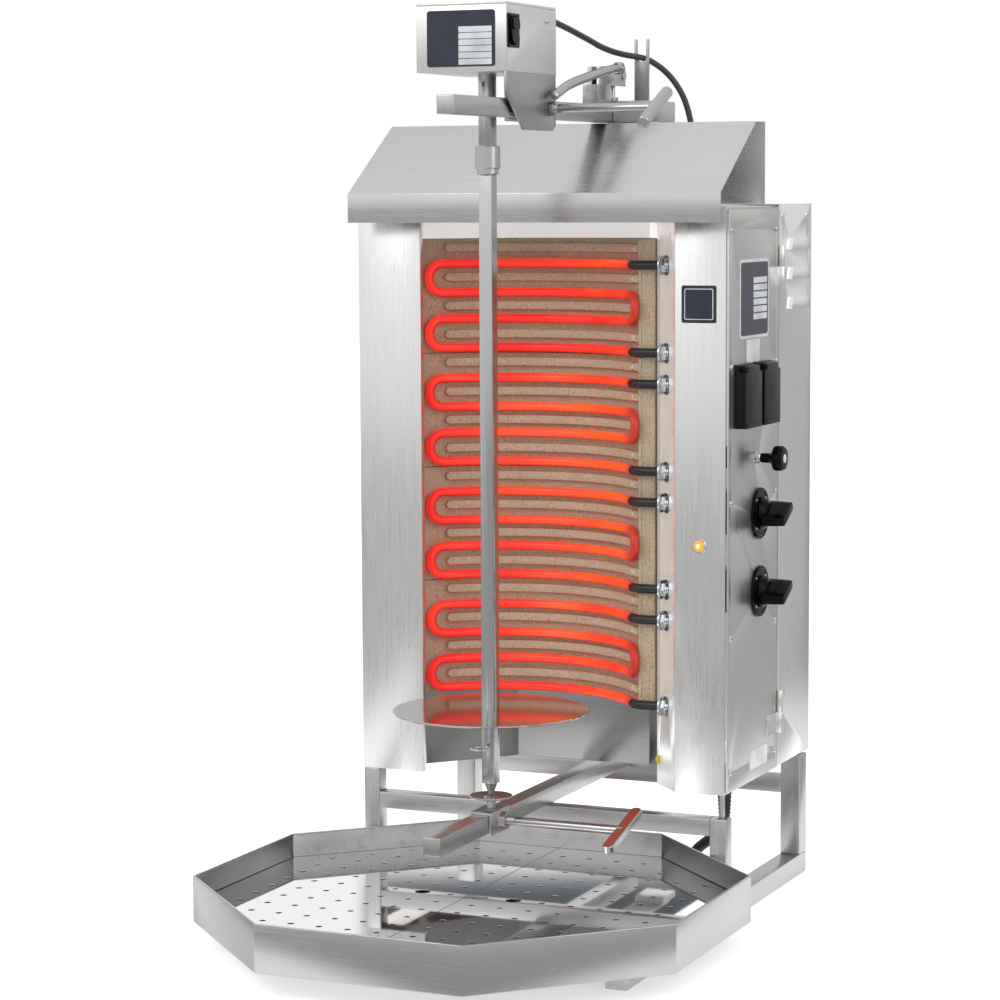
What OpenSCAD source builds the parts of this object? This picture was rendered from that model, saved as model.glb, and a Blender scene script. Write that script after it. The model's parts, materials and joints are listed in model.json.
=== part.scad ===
// Vertical rotisserie broiler: a gyros and doner grill with four electric heating zones.
// X runs to the right, Y to the back and Z up.  The origin is on the ground, at the middle of the
// whole machine's footprint.  Sizes are in millimetres.

/* [Body] */
// Width of the heated body, over the left panel and the control cabinet
body_w = 460; // [450:1:470]
// Height of the body's underside above the ground
body_z = 148; // [146:1:152]
// Height of the body's top, under the hood
body_top_z = 813; // [811:1:818]
// Depth of the control cabinet, back to its hinged cover
cabinet_d = 178; // [176:1:182]
// Depth of the whole machine behind the cabinet's front face
rear_y = 300; // [298:1:304]
// Thickness of the stainless sheet
sheet = 1.5; // [1.2:0.1:2]

/* [Base] */
// Side of the square tube in the base rails and the rear posts
rail = 25; // [24:0.5:26]
// Side of the square tube in the front legs, the crossbars and both arms
bar = 20; // [19:0.5:20]
// Height of the crossbars' upper face
crossbar_z = 120; // [118:1:121]

/* [Tray] */
// Width of the eight-sided drip tray across its flats
tray_w = 572; // [560:2:572]
// Height of the tray's wall
tray_h = 53; // [48:1:54]
// Diameter of the small drain holes in the tray's inserts
drain_d = 7; // [5:0.5:9]

/* [Heater] */
// Radius of the arc that the heating tubes follow
arc_r = 160; // [155:1:165]
// Diameter of a heating tube
tube_d = 10; // [8:0.5:10.5]
// Height of one ceramic brick, which holds one heating element
brick_h = 135.5; // [133:0.5:135.5]

/* [Skewer] */
// Side of the square skewer
skewer_w = 15; // [13:0.5:15]
// Diameter of the meat disc
disc_d = 220; // [180:5:220]
// Diameter of the drive shaft
shaft_d = 20; // [18:0.5:20]

/* [Hidden] */
$fn = 48;

// Clearance between pieces on different bodies, and the small fit inside one body
gap = 0.3;
fit = 0.05;

// Half widths, and the places that several pieces share.  Y is counted here from the cabinet's
// front face; place() moves it to the middle of the footprint.
half_w = body_w / 2;
steel = [0.78, 0.78, 0.77];
tray_y = -197;
tray_front = tray_y - tray_w / 2;
shift_y = -(tray_front + rear_y) / 2;
leg_x = half_w - 1;

// Skewer axis
skewer_y = -142;

// Base
rail_front_y = -312;
rail_rear_y = 293;
post_front_y = rail_rear_y - rail;
arm_z0 = crossbar_z + 1;
lower_arm_front = -300;

// Heater arc: centre, the element rows below each brick's top, and the ridges between them
arc_x = -29;
arc_y = -60;
brick_r = arc_r + 9;
brick_top_z = 778;
bricks = 4;
rows = [29.7, 64.1, 95, 129.3];
split_x = -13;
drain_dx = 34.2;
drain_dy = 37.6;
ridges = [11, 45.8, 79.6, 113.2];
ridge_h = 11;
ridge_d = 6;
row_right = 34.7;
row_left = 136.3;
turn_right = 35.5;
bend_r = 22;
terminal_x = 152;
nut_x = terminal_x - 11;

// Cabinet's inner edge, seen from above
cab_front_x = 167;
strip_x = 143;
strip_y = 27;
edge_x = 131;
edge_y = 37;
inner_x = 92;
trough_y = 141;
panel_edge_x = -151;
rear_panel_y = 150;

// Hood
hood_front_y = -27;
hood_lip_z = 797;
hood_fold_z = 830;
hood_top_z = 910;
hood_top_y = 93;
hood_back_y = 125;

// Upper arm, motor carriage and latch
arm_x = 37;
upper_arm_z = 912;
upper_arm_front = -333;
upper_arm_rear = 111.5;
holder_y = 113.5;
holder_z = 937;
box_x = 53;
box_front = -211;
box_rear = -73;
box_z = 960;
box_top = 1034;
upper_screw_y = -88;
upper_screw_z = 923;
lever_x = 59.5;
lever_y = 100;
lever_z = 974;
lever_r = 5.3;
pin_r = 3;
bolt_y = 138;
clevis_y = 148;
fork_x = 73;
fork_y = 140;
screw_r = 5.2;
upper_tee_x = 176;
upper_tee = 84;
upper_tilt = 25;
lower_tee_x = 158;
lower_tee = 100;
lower_tilt = 15;

// Skewer heights
tip_z = 156.7;
point_z = 172.6;
disc_z = 253.5;
clip_z = 216;
bar_top_z = 868;
sleeve_z = 851;
sleeve_top = 882;

// Controls on the right-hand side panel
knob_y = 110;
knob_zs = [460.5, 369.5];
pull_y = 97;
pull_z = 526;
socket_w = 56;
socket_h = 72;
socket_d = 14;
socket_ys = [21, 87];
socket_z = 564.5;
screw_zs = [172.4, 327.5, 481, 634.5, 787.5];
screw_ys = [10, 168];
weld = 0.15;
seam_y = cabinet_d;
hinge_r = 3.5;
hinge_zs = [[720, 48], [192, 50]];

// Mains lead and motor cord
lead_d = 12.5;
cord_d = 7;
gland_x = 206;
gland_y = 60;
coil_x = -20;
coil_y = 192;
coil_r = 68;
coil_layers = 2;

// Route of the motor cord, from the motor box over the fork to the cabinet's top
cord_front = [
  [20, -73, 1022], [21, -62, 1023], [24, -44, 1024], [27, -26, 1023], [31, -6, 1019],
  [35, 16, 1014], [38, 38, 1009], [41, 60, 1004]
];
cord_rear = [
  [41, 61, 1004], [43, 76, 1000], [45, 92, 997], [49, 107, 994], [57, 121, 991],
  [66, 132, 989], [73, 140, 987.5], [80, 149, 984], [89, 157, 977], [98, 162, 968],
  [107, 165, 956], [115, 166, 942], [121, 166, 926], [125, 166, 908], [127, 166, 888],
  [128, 166, 868], [128, 166, 848], [128, 166, 830]
];

// Route of the mains lead, from the cabinet's underside to the coil behind the tray
lead_route = [
  [206, 60, 112], [204, 60.5, 102], [197, 62, 91], [184, 66, 80], [170, 73, 69],
  [158, 84, 57], [147, 98, 44], [135, 112, 32], [121, 124, 21], [104, 132, 13],
  [85, 132, 8], [64, 127, 6.4], [42, 122, 6.4], [20, 119, 6.4], [0, 118, 6.4],
  [-20, 118, 6.4]
];

// ---- helpers ----

// Moves a piece from the cabinet's own Y to the middle of the footprint
module place() { translate([0, shift_y, 0]) children(); }

// A box from its low corner to its high corner
module block(lo, hi) { translate(lo) cube(hi - lo); }

// A folded sheet in plan, with mitred bends; the path runs along the middle of the sheet
function side_way(a, b) = let (d = (b - a) / norm(b - a)) [-d[1], d[0]];
function mitre(path, i) =
  let (last = len(path) - 1,
    before = side_way(path[max(i - 1, 0)], path[max(i, 1)]),
    after = side_way(path[min(i, last - 1)], path[min(i + 1, last)]))
  (before + after) / (1 + before * after);
module fold(path, t = sheet) {
  last = len(path) - 1;
  polygon(concat(
    [for (i = [0 : last]) path[i] + mitre(path, i) * t / 2],
    [for (i = [last : -1 : 0]) path[i] - mitre(path, i) * t / 2]));
}

// A cylinder along X
module rod_x(x, y, z, r, length) { translate([x, y, z]) rotate([0, 90, 0]) cylinder(r = r, h = length); }

// Directions and rings for a tube swept along a route
function unit(v) = v / norm(v);
function heading(p, i) = unit(p[min(i + 1, len(p) - 1)] - p[max(i - 1, 0)]);
function side_of(d, up) = unit(cross(d, up));
function ring(p, i, r, n, up) =
  let (d = heading(p, i), a = side_of(d, up), b = cross(d, a))
  [for (k = [0 : n - 1]) p[i] + r * (cos(360 * k / n) * a + sin(360 * k / n) * b)];

// A plain tube along a route, closed at both ends
module tube_along(p, r, n, up) {
  tube_faces([for (i = [0 : len(p) - 1]) each ring(p, i, r, n, up)], len(p), n);
}

// The skin over m rings of n points each, with both ends closed
module tube_faces(points, m, n) {
  sides = [for (i = [0 : m - 2]) for (k = [0 : n - 1])
    let (a = i * n + k, b = i * n + (k + 1) % n) each [[a, a + n, b], [b, a + n, b + n]]];
  ends = [[for (k = [0 : n - 1]) k], [for (k = [n - 1 : -1 : 0]) (m - 1) * n + k]];
  polyhedron(points = points, faces = concat(sides, ends));
}

// A tube whose rings keep to the route's own turn: each ring's frame is carried on from the last
function carried(p, i, a) =
  let (d = heading(p, i), b = a - (a * d) * d)
  i == len(p) - 1 ? [unit(b)] : concat([unit(b)], carried(p, i + 1, unit(b)));

module tube_around(p, r, n) {
  m = len(p);
  frames = carried(p, 0, [0, 0, 1]);
  points = [for (i = [0 : m - 1])
    let (d = heading(p, i), a = frames[i], b = cross(d, a))
    for (k = [0 : n - 1]) p[i] + r * (cos(360 * k / n) * a + sin(360 * k / n) * b)];
  tube_faces(points, m, n);
}

// A regular octagon across its flats
module octagon(w) { rotate(22.5) circle(d = w / cos(22.5), $fn = 8); }

// ---- base frame ----

module base_rail(x) { color(steel) place() block([x, rail_front_y, 0], [x + rail, rail_rear_y, rail]); }

module rear_post(x) {
  color(steel) place() block([x, post_front_y, rail], [x + rail, rail_rear_y, body_z]);
}

module front_legs() {
  color(steel) place() {
    block([-leg_x, 0, rail], [-leg_x + bar, bar, body_z]);
    block([leg_x - bar, 0, rail], [leg_x, bar, crossbar_z]);
  }
}

module front_crossbar() {
  color(steel) place() {
    block([-leg_x + bar, 0, crossbar_z - bar], [leg_x - bar, bar, crossbar_z]);
    translate([leg_x - 8, bar / 2, crossbar_z]) cylinder(r = 3, h = body_z - crossbar_z);
  }
}

module rear_crossbar() {
  color(steel) place()
    block([-half_w + rail, post_front_y, crossbar_z - bar], [half_w - rail, rail_rear_y, crossbar_z]);
}

module lower_arm() {
  color(steel) place() {
    block([-bar / 2, lower_arm_front, arm_z0], [bar / 2, rail_rear_y - 2, arm_z0 + bar]);
    block([-bar / 2, 2, crossbar_z], [bar / 2, bar - 2, arm_z0]);
    block([-bar / 2, post_front_y + 2, crossbar_z], [bar / 2, rail_rear_y - 2, arm_z0]);
  }
}

// ---- body ----

module left_panel() {
  color(steel) place() translate([0, 0, body_z]) linear_extrude(body_top_z - body_z)
    fold([[panel_edge_x, 8], [panel_edge_x, sheet / 2], [-half_w + sheet / 2, sheet / 2],
      [-half_w + sheet / 2, rear_panel_y - 2]]);
}

module rear_panel() {
  color(steel) place() {
    block([-half_w, rear_panel_y - 2 + gap, body_z], [inner_x - sheet, rear_panel_y, body_top_z]);
    block([-half_w, 2, body_top_z], [inner_x - sheet, rear_panel_y, body_top_z + sheet]);
    block([-half_w + sheet, 24, body_z - sheet], [-190, rear_panel_y, body_z]);
  }
}

module back_wall() {
  color([0.85, 0.85, 0.84]) place() translate([0, 0, body_z]) linear_extrude(body_top_z - body_z)
    fold([[-188, 26], [-89, trough_y], [83, trough_y], [129, 88]]);
}

// The cabinet's inner edge in plan, along the middle of its sheet
cab_front = [[half_w - 3, sheet / 2], [cab_front_x, sheet / 2], [strip_x, strip_y], [edge_x + 1, edge_y]];
cab_inner = [[134, 92], [inner_x, trough_y + 3], [inner_x, rear_y - 4]];

// The front fold is notched round each terminal's washer and nut
module control_cabinet() {
  color(steel) place() {
    difference() {
      translate([0, 0, body_z]) linear_extrude(body_top_z - body_z) fold(cab_front);
      for (k = [0 : bricks - 1]) for (drop = [rows[0], rows[3]])
        rod_x(nut_x - 1, cold_y, brick_top_z - k * brick_h - drop, 12, 14);
    }
    translate([0, 0, body_z]) linear_extrude(body_top_z - body_z) fold(cab_inner);
    for (z = [body_z + 0.5, body_top_z]) translate([0, 0, z]) linear_extrude(sheet)
      polygon(concat(cab_front, cab_inner, [[half_w - 4, rear_y - 5]]));
  }
}

module side_panel() {
  color([0.74, 0.72, 0.69]) place() difference() {
    block([half_w - sheet, 1, body_z + 2], [half_w, seam_y - 1, body_top_z - 2]);
    for (z = knob_zs) rod_x(half_w - 5, knob_y, z, 6, 10);
    rod_x(half_w - 5, pull_y, pull_z, 6, 10);
    for (z = screw_zs) for (y = screw_ys) rod_x(half_w - 5, y, z, 1.9, 10);
  }
}

module hood() {
  color([0.7, 0.7, 0.69]) place() {
    translate([-half_w, 0, 0]) rotate([90, 0, 90]) linear_extrude(body_w)
      fold([[hood_front_y, hood_lip_z], [hood_front_y, hood_fold_z], [hood_top_y, hood_top_z],
        [hood_back_y, hood_top_z], [hood_back_y, body_top_z + 4]]);
    for (x = [-half_w + 60, half_w - 80])
      block([x, hood_back_y - 20, body_top_z + sheet], [x + 20, hood_back_y, body_top_z + 5]);
  }
}

module panel_screw(y, z) {
  rod_x(half_w - 4, y, z, 1.8, 4.5);
  rod_x(half_w, y, z, 3.4, 1.6);
}

module panel_screws() {
  color([0.6, 0.6, 0.6]) place() for (z = screw_zs) for (y = screw_ys) panel_screw(y, z);
}

// The cover turns on the hinges at the seam; its louvres vent the wiring space
module rear_cover() {
  color(steel) place() {
    translate([0, 0, body_z + 3]) linear_extrude(body_top_z - body_z - 1)
      fold([[half_w - sheet / 2, seam_y + 1], [half_w - sheet / 2, rear_y - sheet / 2],
        [inner_x - 2, rear_y - sheet / 2]]);
    translate([0, 0, body_top_z + 2]) linear_extrude(sheet)
      polygon([[inner_x - 2, rear_y], [half_w, rear_y], [half_w, seam_y + 1], [inner_x + 40, seam_y + 40]]);
    for (z = [693, 728, 763]) translate([half_w - 0.5, 213, z]) louvre();
    for (y = [190, 281]) rod_x(half_w, y, 803, 3, 1.4);
    for (h = hinge_zs) {
      translate([half_w + hinge_r, seam_y, h[0] + h[1] / 2 + gap]) knuckle(h[1] / 2 - gap);
      block([half_w, seam_y + 1, h[0] + h[1] / 2 + gap], [half_w + 1.2, seam_y + 14, h[0] + h[1]]);
    }
  }
}

// One pressed louvre: a wedge that stands out at its lower edge
module louvre() {
  rotate([90, 0, 90]) linear_extrude(5)
    polygon([[0, 0], [72, 0], [66, 14], [6, 14]]);
}

// A knuckle with the pin's bore
module knuckle(h) {
  difference() {
    cylinder(r = hinge_r, h = h);
    translate([0, 0, -1]) cylinder(r = 1.6, h = h + 2);
  }
}

// The fixed halves of both hinges, with their pins
module hinges() {
  color(steel) place() for (h = hinge_zs) {
    translate([half_w + hinge_r, seam_y, h[0]]) {
      cylinder(r = hinge_r, h = h[1] / 2 - gap);
      cylinder(r = 1.5, h = h[1]);
    }
    block([half_w, seam_y - 38, h[0]], [half_w + 1.2, seam_y - 1, h[0] + h[1] / 2 - gap]);
    block([half_w + 0.2, seam_y - 1.5, h[0]], [half_w + 3, seam_y, h[0] + h[1] / 2 - gap]);
  }
}

// ---- heater ----

// Each brick is concave, with ridges that keep the tube's rows apart
module brick(top) {
  difference() {
    translate([0, 0, top - brick_h + 0.2]) linear_extrude(brick_h - 0.4)
      polygon([[-176, 30], [-176, 38], [-89, 139], [83, 139], [128, 88], [128, 34], [112, 34], [112, 20],
        [0, -60], [-100, -60]]);
    translate([arc_x, arc_y, top - brick_h - 1]) cylinder(r = brick_r, h = brick_h + 2);
  }
  for (drop = ridges) ridge(top - drop);
}

// A ridge: a thin arc of ceramic that stands out between two rows
module ridge(z) {
  translate([arc_x, arc_y, z - ridge_h / 2]) rotate([0, 0, row_right + 2])
    rotate_extrude(angle = row_left - row_right - 4)
      translate([brick_r - ridge_d, 0]) square([ridge_d + 1, ridge_h]);
}

module ceramic_bricks() {
  color([0.55, 0.42, 0.32]) place() {
    for (k = [0 : bricks - 1]) brick(brick_top_z - k * brick_h);
    block([112.5, 28, brick_top_z - bricks * brick_h], [130.5, 33.8, brick_top_z]);
  }
}

// A point on the arc at angle a, and points along one row from angle a0 to a1
function on_arc(a, z) = [arc_x + arc_r * cos(a), arc_y + arc_r * sin(a), z];
function row(a0, a1, z) = [for (i = [0 : 26]) on_arc(a0 + (a1 - a0) * i / 26, z)];

// The half turn between two rows at angle a; side is 1 on the left and -1 on the right
function turn(a, z0, z1, side) =
  let (r = (z0 - z1) / 2, way = side * [-sin(a), cos(a), 0])
  [for (i = [1 : 7]) on_arc(a, z0 - r) + r * (sin(180 * i / 8) * way + [0, 0, cos(180 * i / 8)])];

// The cold end: out of the arc through a bend, then straight along X through the cabinet's edge
cold_c = on_arc(row_right, 0) + bend_r * [cos(row_right), sin(row_right), 0];
cold_y = cold_c[1] - bend_r;
function cold(z) = concat(
  [[terminal_x + 22, cold_y, z], [nut_x - 4, cold_y, z], [cold_c[0], cold_y, z]],
  [for (a = [256 : -14 : 228]) cold_c + bend_r * [cos(a), sin(a), 0] + [0, 0, z]]);

module element(top) {
  z = [for (drop = rows) top - drop];
  route = concat(cold(z[0]), row(row_right, row_left, z[0]), turn(row_left, z[0], z[1], 1),
    row(row_left, turn_right, z[1]), turn(turn_right, z[1], z[2], -1),
    row(turn_right, row_left, z[2]), turn(row_left, z[2], z[3], 1),
    row(row_left, row_right, z[3]), [for (i = [5 : -1 : 0]) cold(z[3])[i]]);
  tube_around(route, tube_d / 2, 8);
}

module heating_elements() {
  color([0.95, 0.25, 0.1]) place() for (k = [0 : bricks - 1]) element(brick_top_z - k * brick_h);
}

// A flange nut with a washer, on each cold end, outside the cabinet's edge
module terminal_nut(z) {
  y = cold_y;
  difference() {
    union() {
      rod_x(nut_x, y, z, 11.5, 2.5);
      rod_x(terminal_x - 8.5, y, z, 8.5, 6);
    }
    rod_x(terminal_x - 12, y, z, tube_d / 2 + fit, 16);
  }
}

module terminal_nuts() {
  color([0.75, 0.76, 0.78]) place() for (k = [0 : bricks - 1])
    for (drop = [rows[0], rows[3]]) terminal_nut(brick_top_z - k * brick_h - drop);
}

module terminal_block() {
  color([0.9, 0.88, 0.8]) place() {
    block([inner_x + 8, 200, 260], [inner_x + 26, 224, 380]);
    for (z = [274 : 23 : 366]) rod_x(inner_x + 26, 212, z, 5, 4);
  }
}

// ---- controls ----

module switch_bodies() {
  color([0.12, 0.12, 0.12]) place() {
    for (z = knob_zs) {
      block([half_w - 52, knob_y - 24, z - 24], [half_w - 8, knob_y + 24, z + 24]);
      rod_x(half_w - 8, knob_y, z, 3, 18);
    }
    block([half_w - 40, pull_y - 12, pull_z - 12], [half_w - 8, pull_y + 12, pull_z + 12]);
  }
}

// Two round switch plates and the pull knob's metal collar
module control_bezels() {
  color([0.08, 0.08, 0.08]) place() for (z = knob_zs) difference() {
    rod_x(half_w, knob_y, z, 30, 3);
    rod_x(half_w - 1, knob_y, z, 5, 5);
  }
  color([0.8, 0.8, 0.8]) place() difference() {
    rod_x(half_w, pull_y, pull_z, 7, 6.5);
    rod_x(half_w - 1, pull_y, pull_z, 4.5, 9);
  }
}

// A rotary knob: a round base with a straight grip, bored for the switch's shaft
module knob(z, tilt) {
  color([0.06, 0.06, 0.06]) place() translate([half_w + 3 + gap, knob_y, z]) rotate([tilt, 0, 0])
    difference() {
      union() {
        rotate([0, 90, 0]) cylinder(r = 19, h = 10);
        translate([8, -7, -20]) cube([26, 14, 40]);
      }
      translate([-1, 0, 0]) rotate([0, 90, 0]) cylinder(r = 3 + fit, h = 14);
    }
}

// The pull knob: a stem with a round grip
module pull_knob() {
  color([0.05, 0.05, 0.05]) place() {
    rod_x(half_w - 7, pull_y, pull_z, 4, 30);
    rod_x(half_w + 18, pull_y, pull_z, 10, 4);
    rod_x(half_w + 22, pull_y, pull_z, 14.5, 13);
  }
}

module socket_housings() {
  color([0.1, 0.1, 0.11]) place() for (y = socket_ys) difference() {
    block([half_w, y, socket_z], [half_w + socket_d - 4, y + socket_w, socket_z + socket_h]);
    rod_x(half_w + 2, y + socket_w / 2, socket_z + socket_h / 2, 20, socket_d);
    block([half_w + 4, y - 1, socket_z + socket_h - 9],
      [half_w + socket_d, y + socket_w + 1, socket_z + socket_h + 1]);
  }
}

// A lid closes each socket and turns about its upper edge
module socket_lid(y) {
  hinge_z = socket_z + socket_h - 4.5;
  color([0.14, 0.14, 0.15]) place() {
    block([half_w + socket_d - 4 + gap, y, socket_z],
      [half_w + socket_d, y + socket_w, socket_z + socket_h - 9 + gap]);
    block([half_w + socket_d - 4 + gap, y + 8, socket_z + socket_h - 9 + gap],
      [half_w + socket_d, y + socket_w - 8, socket_z + socket_h - 2]);
    translate([half_w + 8.5, y + 8, hinge_z]) rotate([-90, 0, 0]) cylinder(r = 3.6, h = socket_w - 16);
    block([half_w + 8.5, y + 8, hinge_z - 2], [half_w + socket_d - 3, y + socket_w - 8, hinge_z + 2]);
  }
}

module indicator_lamp() {
  color([1, 0.5, 0.1]) place() {
    translate([196, 0, 432.6]) rotate([90, 0, 0]) cylinder(r = 8.5, h = 1.5);
    translate([196, -1.5, 432.6]) rotate([90, 0, 0]) cylinder(r = 6.5, h = 3);
  }
}

// Blank plates: a badge on the front, and a rating plate and two labels on the side
module label_plates() {
  color([0.1, 0.1, 0.12]) place() {
    block([174.5, -1, 684.5], [216, 0, 726.5]);
    block([half_w, 38, 667], [half_w + 1, 139, 752]);
    block([half_w, 62, 639], [half_w + 0.6, 109, 664]);
    block([half_w, 79, 163], [half_w + 0.6, 141, 185]);
  }
}

module motor_label() {
  color([0.15, 0.15, 0.16]) place() block([-40, box_front - 1, 965.5], [40, box_front, 1025.5]);
}

// ---- upper arm and its latch ----

// A post behind the body carries the arm's holder
module arm_pillar() {
  color(steel) place() {
    block([22, rear_panel_y + 2, body_z + 2], [60, rear_panel_y + 40, holder_z - bar - 5]);
    block([22, holder_y, holder_z - 25], [96, 190, holder_z]);
    block([-60, rear_panel_y, body_z + 60], [90, rear_panel_y + 2, body_z + 100]);
    block([-60, rear_panel_y, body_top_z - 90], [90, rear_panel_y + 2, body_top_z - 50]);
    block([22, rear_panel_y + 2, body_z], [60, post_front_y + 4, body_z + 2]);
    block([22, post_front_y - 20, crossbar_z + bar], [60, rail_rear_y - 2, body_z]);
  }
}

module upper_arm() {
  color(steel) place() {
    block([arm_x - bar / 2, upper_arm_front, upper_arm_z], [arm_x + bar / 2, upper_arm_rear, upper_arm_z + bar]);
    translate([arm_x, upper_arm_rear, upper_arm_z + bar / 2]) rotate([-90, 0, 0])
      cylinder(r = 7, h = holder_y - upper_arm_rear);
  }
}

// A two-pronged plate that holds the motor's cord up
module cable_fork() {
  color(steel) place() difference() {
    block([fork_x - 9, fork_y - 1.5, holder_z], [fork_x + 9, fork_y + 1.5, 1009]);
    block([fork_x - 5.6, fork_y - 3, 988.5], [fork_x + 5.6, fork_y + 3, 1010]);
    translate([fork_x, fork_y - 3, 988.5]) rotate([-90, 0, 0]) cylinder(r = 5.6, h = 6);
  }
}

// The latch on top of the arm: block, clevis, pins, tension bolt and nut
module latch_clamp() {
  eye_x = lever_x + lever_r + 1.5;
  color([0.68, 0.68, 0.68]) place() {
    block([arm_x - 9, 66, upper_arm_z + bar], [arm_x + 9.5, 107, 955]);
    block([arm_x - 9, 80, 955], [arm_x - 3, 155, 976]);
    block([arm_x + 3, 80, 955], [arm_x + 9.5, 155, 976]);
    rod_x(arm_x - 11, lever_y, lever_z, pin_r, eye_x - arm_x + 11);
    rod_x(arm_x - 11, clevis_y, 968, 6, 22);
    translate([arm_x, bolt_y, holder_z]) cylinder(r = 2.9, h = 32);
    translate([arm_x, bolt_y, holder_z]) cylinder(r = 7, h = 5, $fn = 6);
  }
}

// Points along the lever's curved rod, from its eye forward and down
lever_route = [
  [lever_x, lever_y - 5.5, lever_z - 0.5], [lever_x, 83, 972.5], [lever_x, 60, 969.5],
  [lever_x, 36, 966], [lever_x, 14, 962.5], [lever_x, -6, 959], [lever_x, -24, 956],
  [lever_x, -39, 953], [lever_x, -53, 950], [lever_x, -66, 946.5], [lever_x, -78, 942.5],
  [lever_x, -88, 939], [lever_x, -96, 936]
];

module cam_lever() {
  color(steel) place() {
    tube_along(lever_route, lever_r, 12, [1, 0, 0]);
    difference() {
      rod_x(lever_x - lever_r, lever_y, lever_z, 7, 2 * lever_r);
      rod_x(lever_x - lever_r - 1, lever_y, lever_z, pin_r + 0.06, 2 * lever_r + 2);
    }
  }
}

// ---- motor carriage ----

module motor_box() {
  color(steel) place() difference() {
    block([-box_x, box_front, box_z], [box_x, box_rear, box_top - 3]);
    block([-box_x + sheet, box_front + sheet, box_z + sheet], [box_x - sheet, box_rear - sheet, box_top]);
    translate([0, skewer_y, box_z - 1]) cylinder(r = shaft_d / 2 + 0.6, h = 5);
    block([box_x - 4, -204, 988], [box_x + 1, -181, 1019]);
    translate([20, box_rear - 4, 1022]) rotate([-90, 0, 0]) cylinder(r = 4, h = 6);
  }
}

module motor_cover() {
  color(steel) place() difference() {
    block([-box_x, box_front, box_top - 3], [box_x, box_rear, box_top]);
    block([-box_x + 6, box_front + 6, box_top - 4], [box_x - 6, box_rear - 6, box_top - sheet]);
  }
}

// The bracket hangs the box beside the arm: a big plate on the right, a small one on the left
module motor_bracket() {
  plate_x = box_x - 3;
  arm_lo = arm_x - bar / 2 - gap - 3;
  color(steel) place() {
    difference() {
      translate([plate_x, 0, 0]) rotate([90, 0, 90]) linear_extrude(3)
        polygon([[box_front, box_z], [box_front, 938], [-170, 904], [-163, 898.5], [-82, 898.5],
          [-74, 905], [-74, box_z]]);
      rod_x(plate_x - 1, upper_screw_y, upper_screw_z, screw_r + gap, 5);
    }
    block([arm_lo, -150, 908.5], [arm_lo + 3, -80, box_z]);
    block([arm_lo, -150, 908.5], [arm_lo + 16, -80, upper_arm_z - gap]);
    block([arm_lo, -150, box_z - 3], [box_x, -80, box_z]);
    difference() {
      translate([box_x + weld, upper_screw_y, upper_screw_z])
        rotate([0, 90, 0]) cylinder(r = 8, h = 5, $fn = 6);
      rod_x(box_x - 1, upper_screw_y, upper_screw_z, screw_r + gap, 8);
    }
  }
}

module gear_motor() {
  color([0.5, 0.5, 0.52]) place() {
    block([-30, skewer_y - 38, box_z + sheet + 12], [30, skewer_y + 38, box_z + 34]);
    translate([0, skewer_y + 12, box_z + 34]) cylinder(r = 24, h = 30);
    block([-38, skewer_y - 30, box_z + sheet], [-31, skewer_y + 30, box_z + sheet + 20]);
    block([31, skewer_y - 30, box_z + sheet], [38, skewer_y + 30, box_z + sheet + 20]);
  }
}

module rocker_switch() {
  color([0.05, 0.05, 0.05]) place() {
    rotate_about([box_x + 1, -192.5, 1003.5]) {
      block([-3.5, -10, -14], [3, 10, 14]);
      block([-3.5, -10, 2], [4.5, 10, 14]);
    }
  }
}

// Puts a piece at a point, tilted as a switched-on rocker lies
module rotate_about(p) { translate(p) rotate([0, -5, 0]) children(); }

// The upper clamp screw: a rod with a round cross bar
module upper_clamp_screw() {
  color([0.8, 0.79, 0.77]) place() {
    rod_x(arm_x + bar / 2 + gap, upper_screw_y, upper_screw_z, screw_r, upper_tee_x - arm_x - bar / 2);
    translate([upper_tee_x, upper_screw_y, upper_screw_z]) rotate([upper_tilt - 90, 0, 0])
      translate([0, 0, -upper_tee / 2]) cylinder(r = 6.8, h = upper_tee);
  }
}

// The lower clamp screw: a rod with a flat cross bar, round at both ends
module lower_clamp_screw() {
  z = arm_z0 + bar / 2;
  color([0.8, 0.79, 0.77]) place() {
    rod_x(bar / 2 + gap, skewer_y, z, screw_r, lower_tee_x - bar / 2);
    translate([lower_tee_x, skewer_y, z]) rotate([lower_tilt, 0, 0]) translate([0, 0, -4]) {
      block([-6.5, -lower_tee / 2 + 6.5, 0], [6.5, lower_tee / 2 - 6.5, 8]);
      for (side = [-1, 1]) translate([0, side * (lower_tee / 2 - 6.5), 0]) cylinder(r = 6.5, h = 8);
    }
  }
}

// ---- skewer ----

module drive_shaft() {
  color(steel) place() difference() {
    translate([0, skewer_y, bar_top_z + 2]) cylinder(d = shaft_d, h = box_z + 10 - bar_top_z - 2);
    translate([0, skewer_y + 12, 949]) rotate([90, 0, 0]) cylinder(r = 2.5, h = 24);
  }
}

module coupling_sleeve() {
  color(steel) place() difference() {
    union() {
      translate([0, skewer_y, sleeve_z + 6]) cylinder(r = 14, h = sleeve_top - sleeve_z - 6);
      translate([0, skewer_y, sleeve_z]) cylinder(r = 12, h = 7);
    }
    translate([0, skewer_y, bar_top_z + 1]) cylinder(d = shaft_d + 2 * fit, h = 30);
    translate([-skewer_w / 2 - fit, skewer_y - skewer_w / 2 - fit, sleeve_z - 1])
      cube([skewer_w + 2 * fit, skewer_w + 2 * fit, bar_top_z - sleeve_z + 1]);
  }
}

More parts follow.
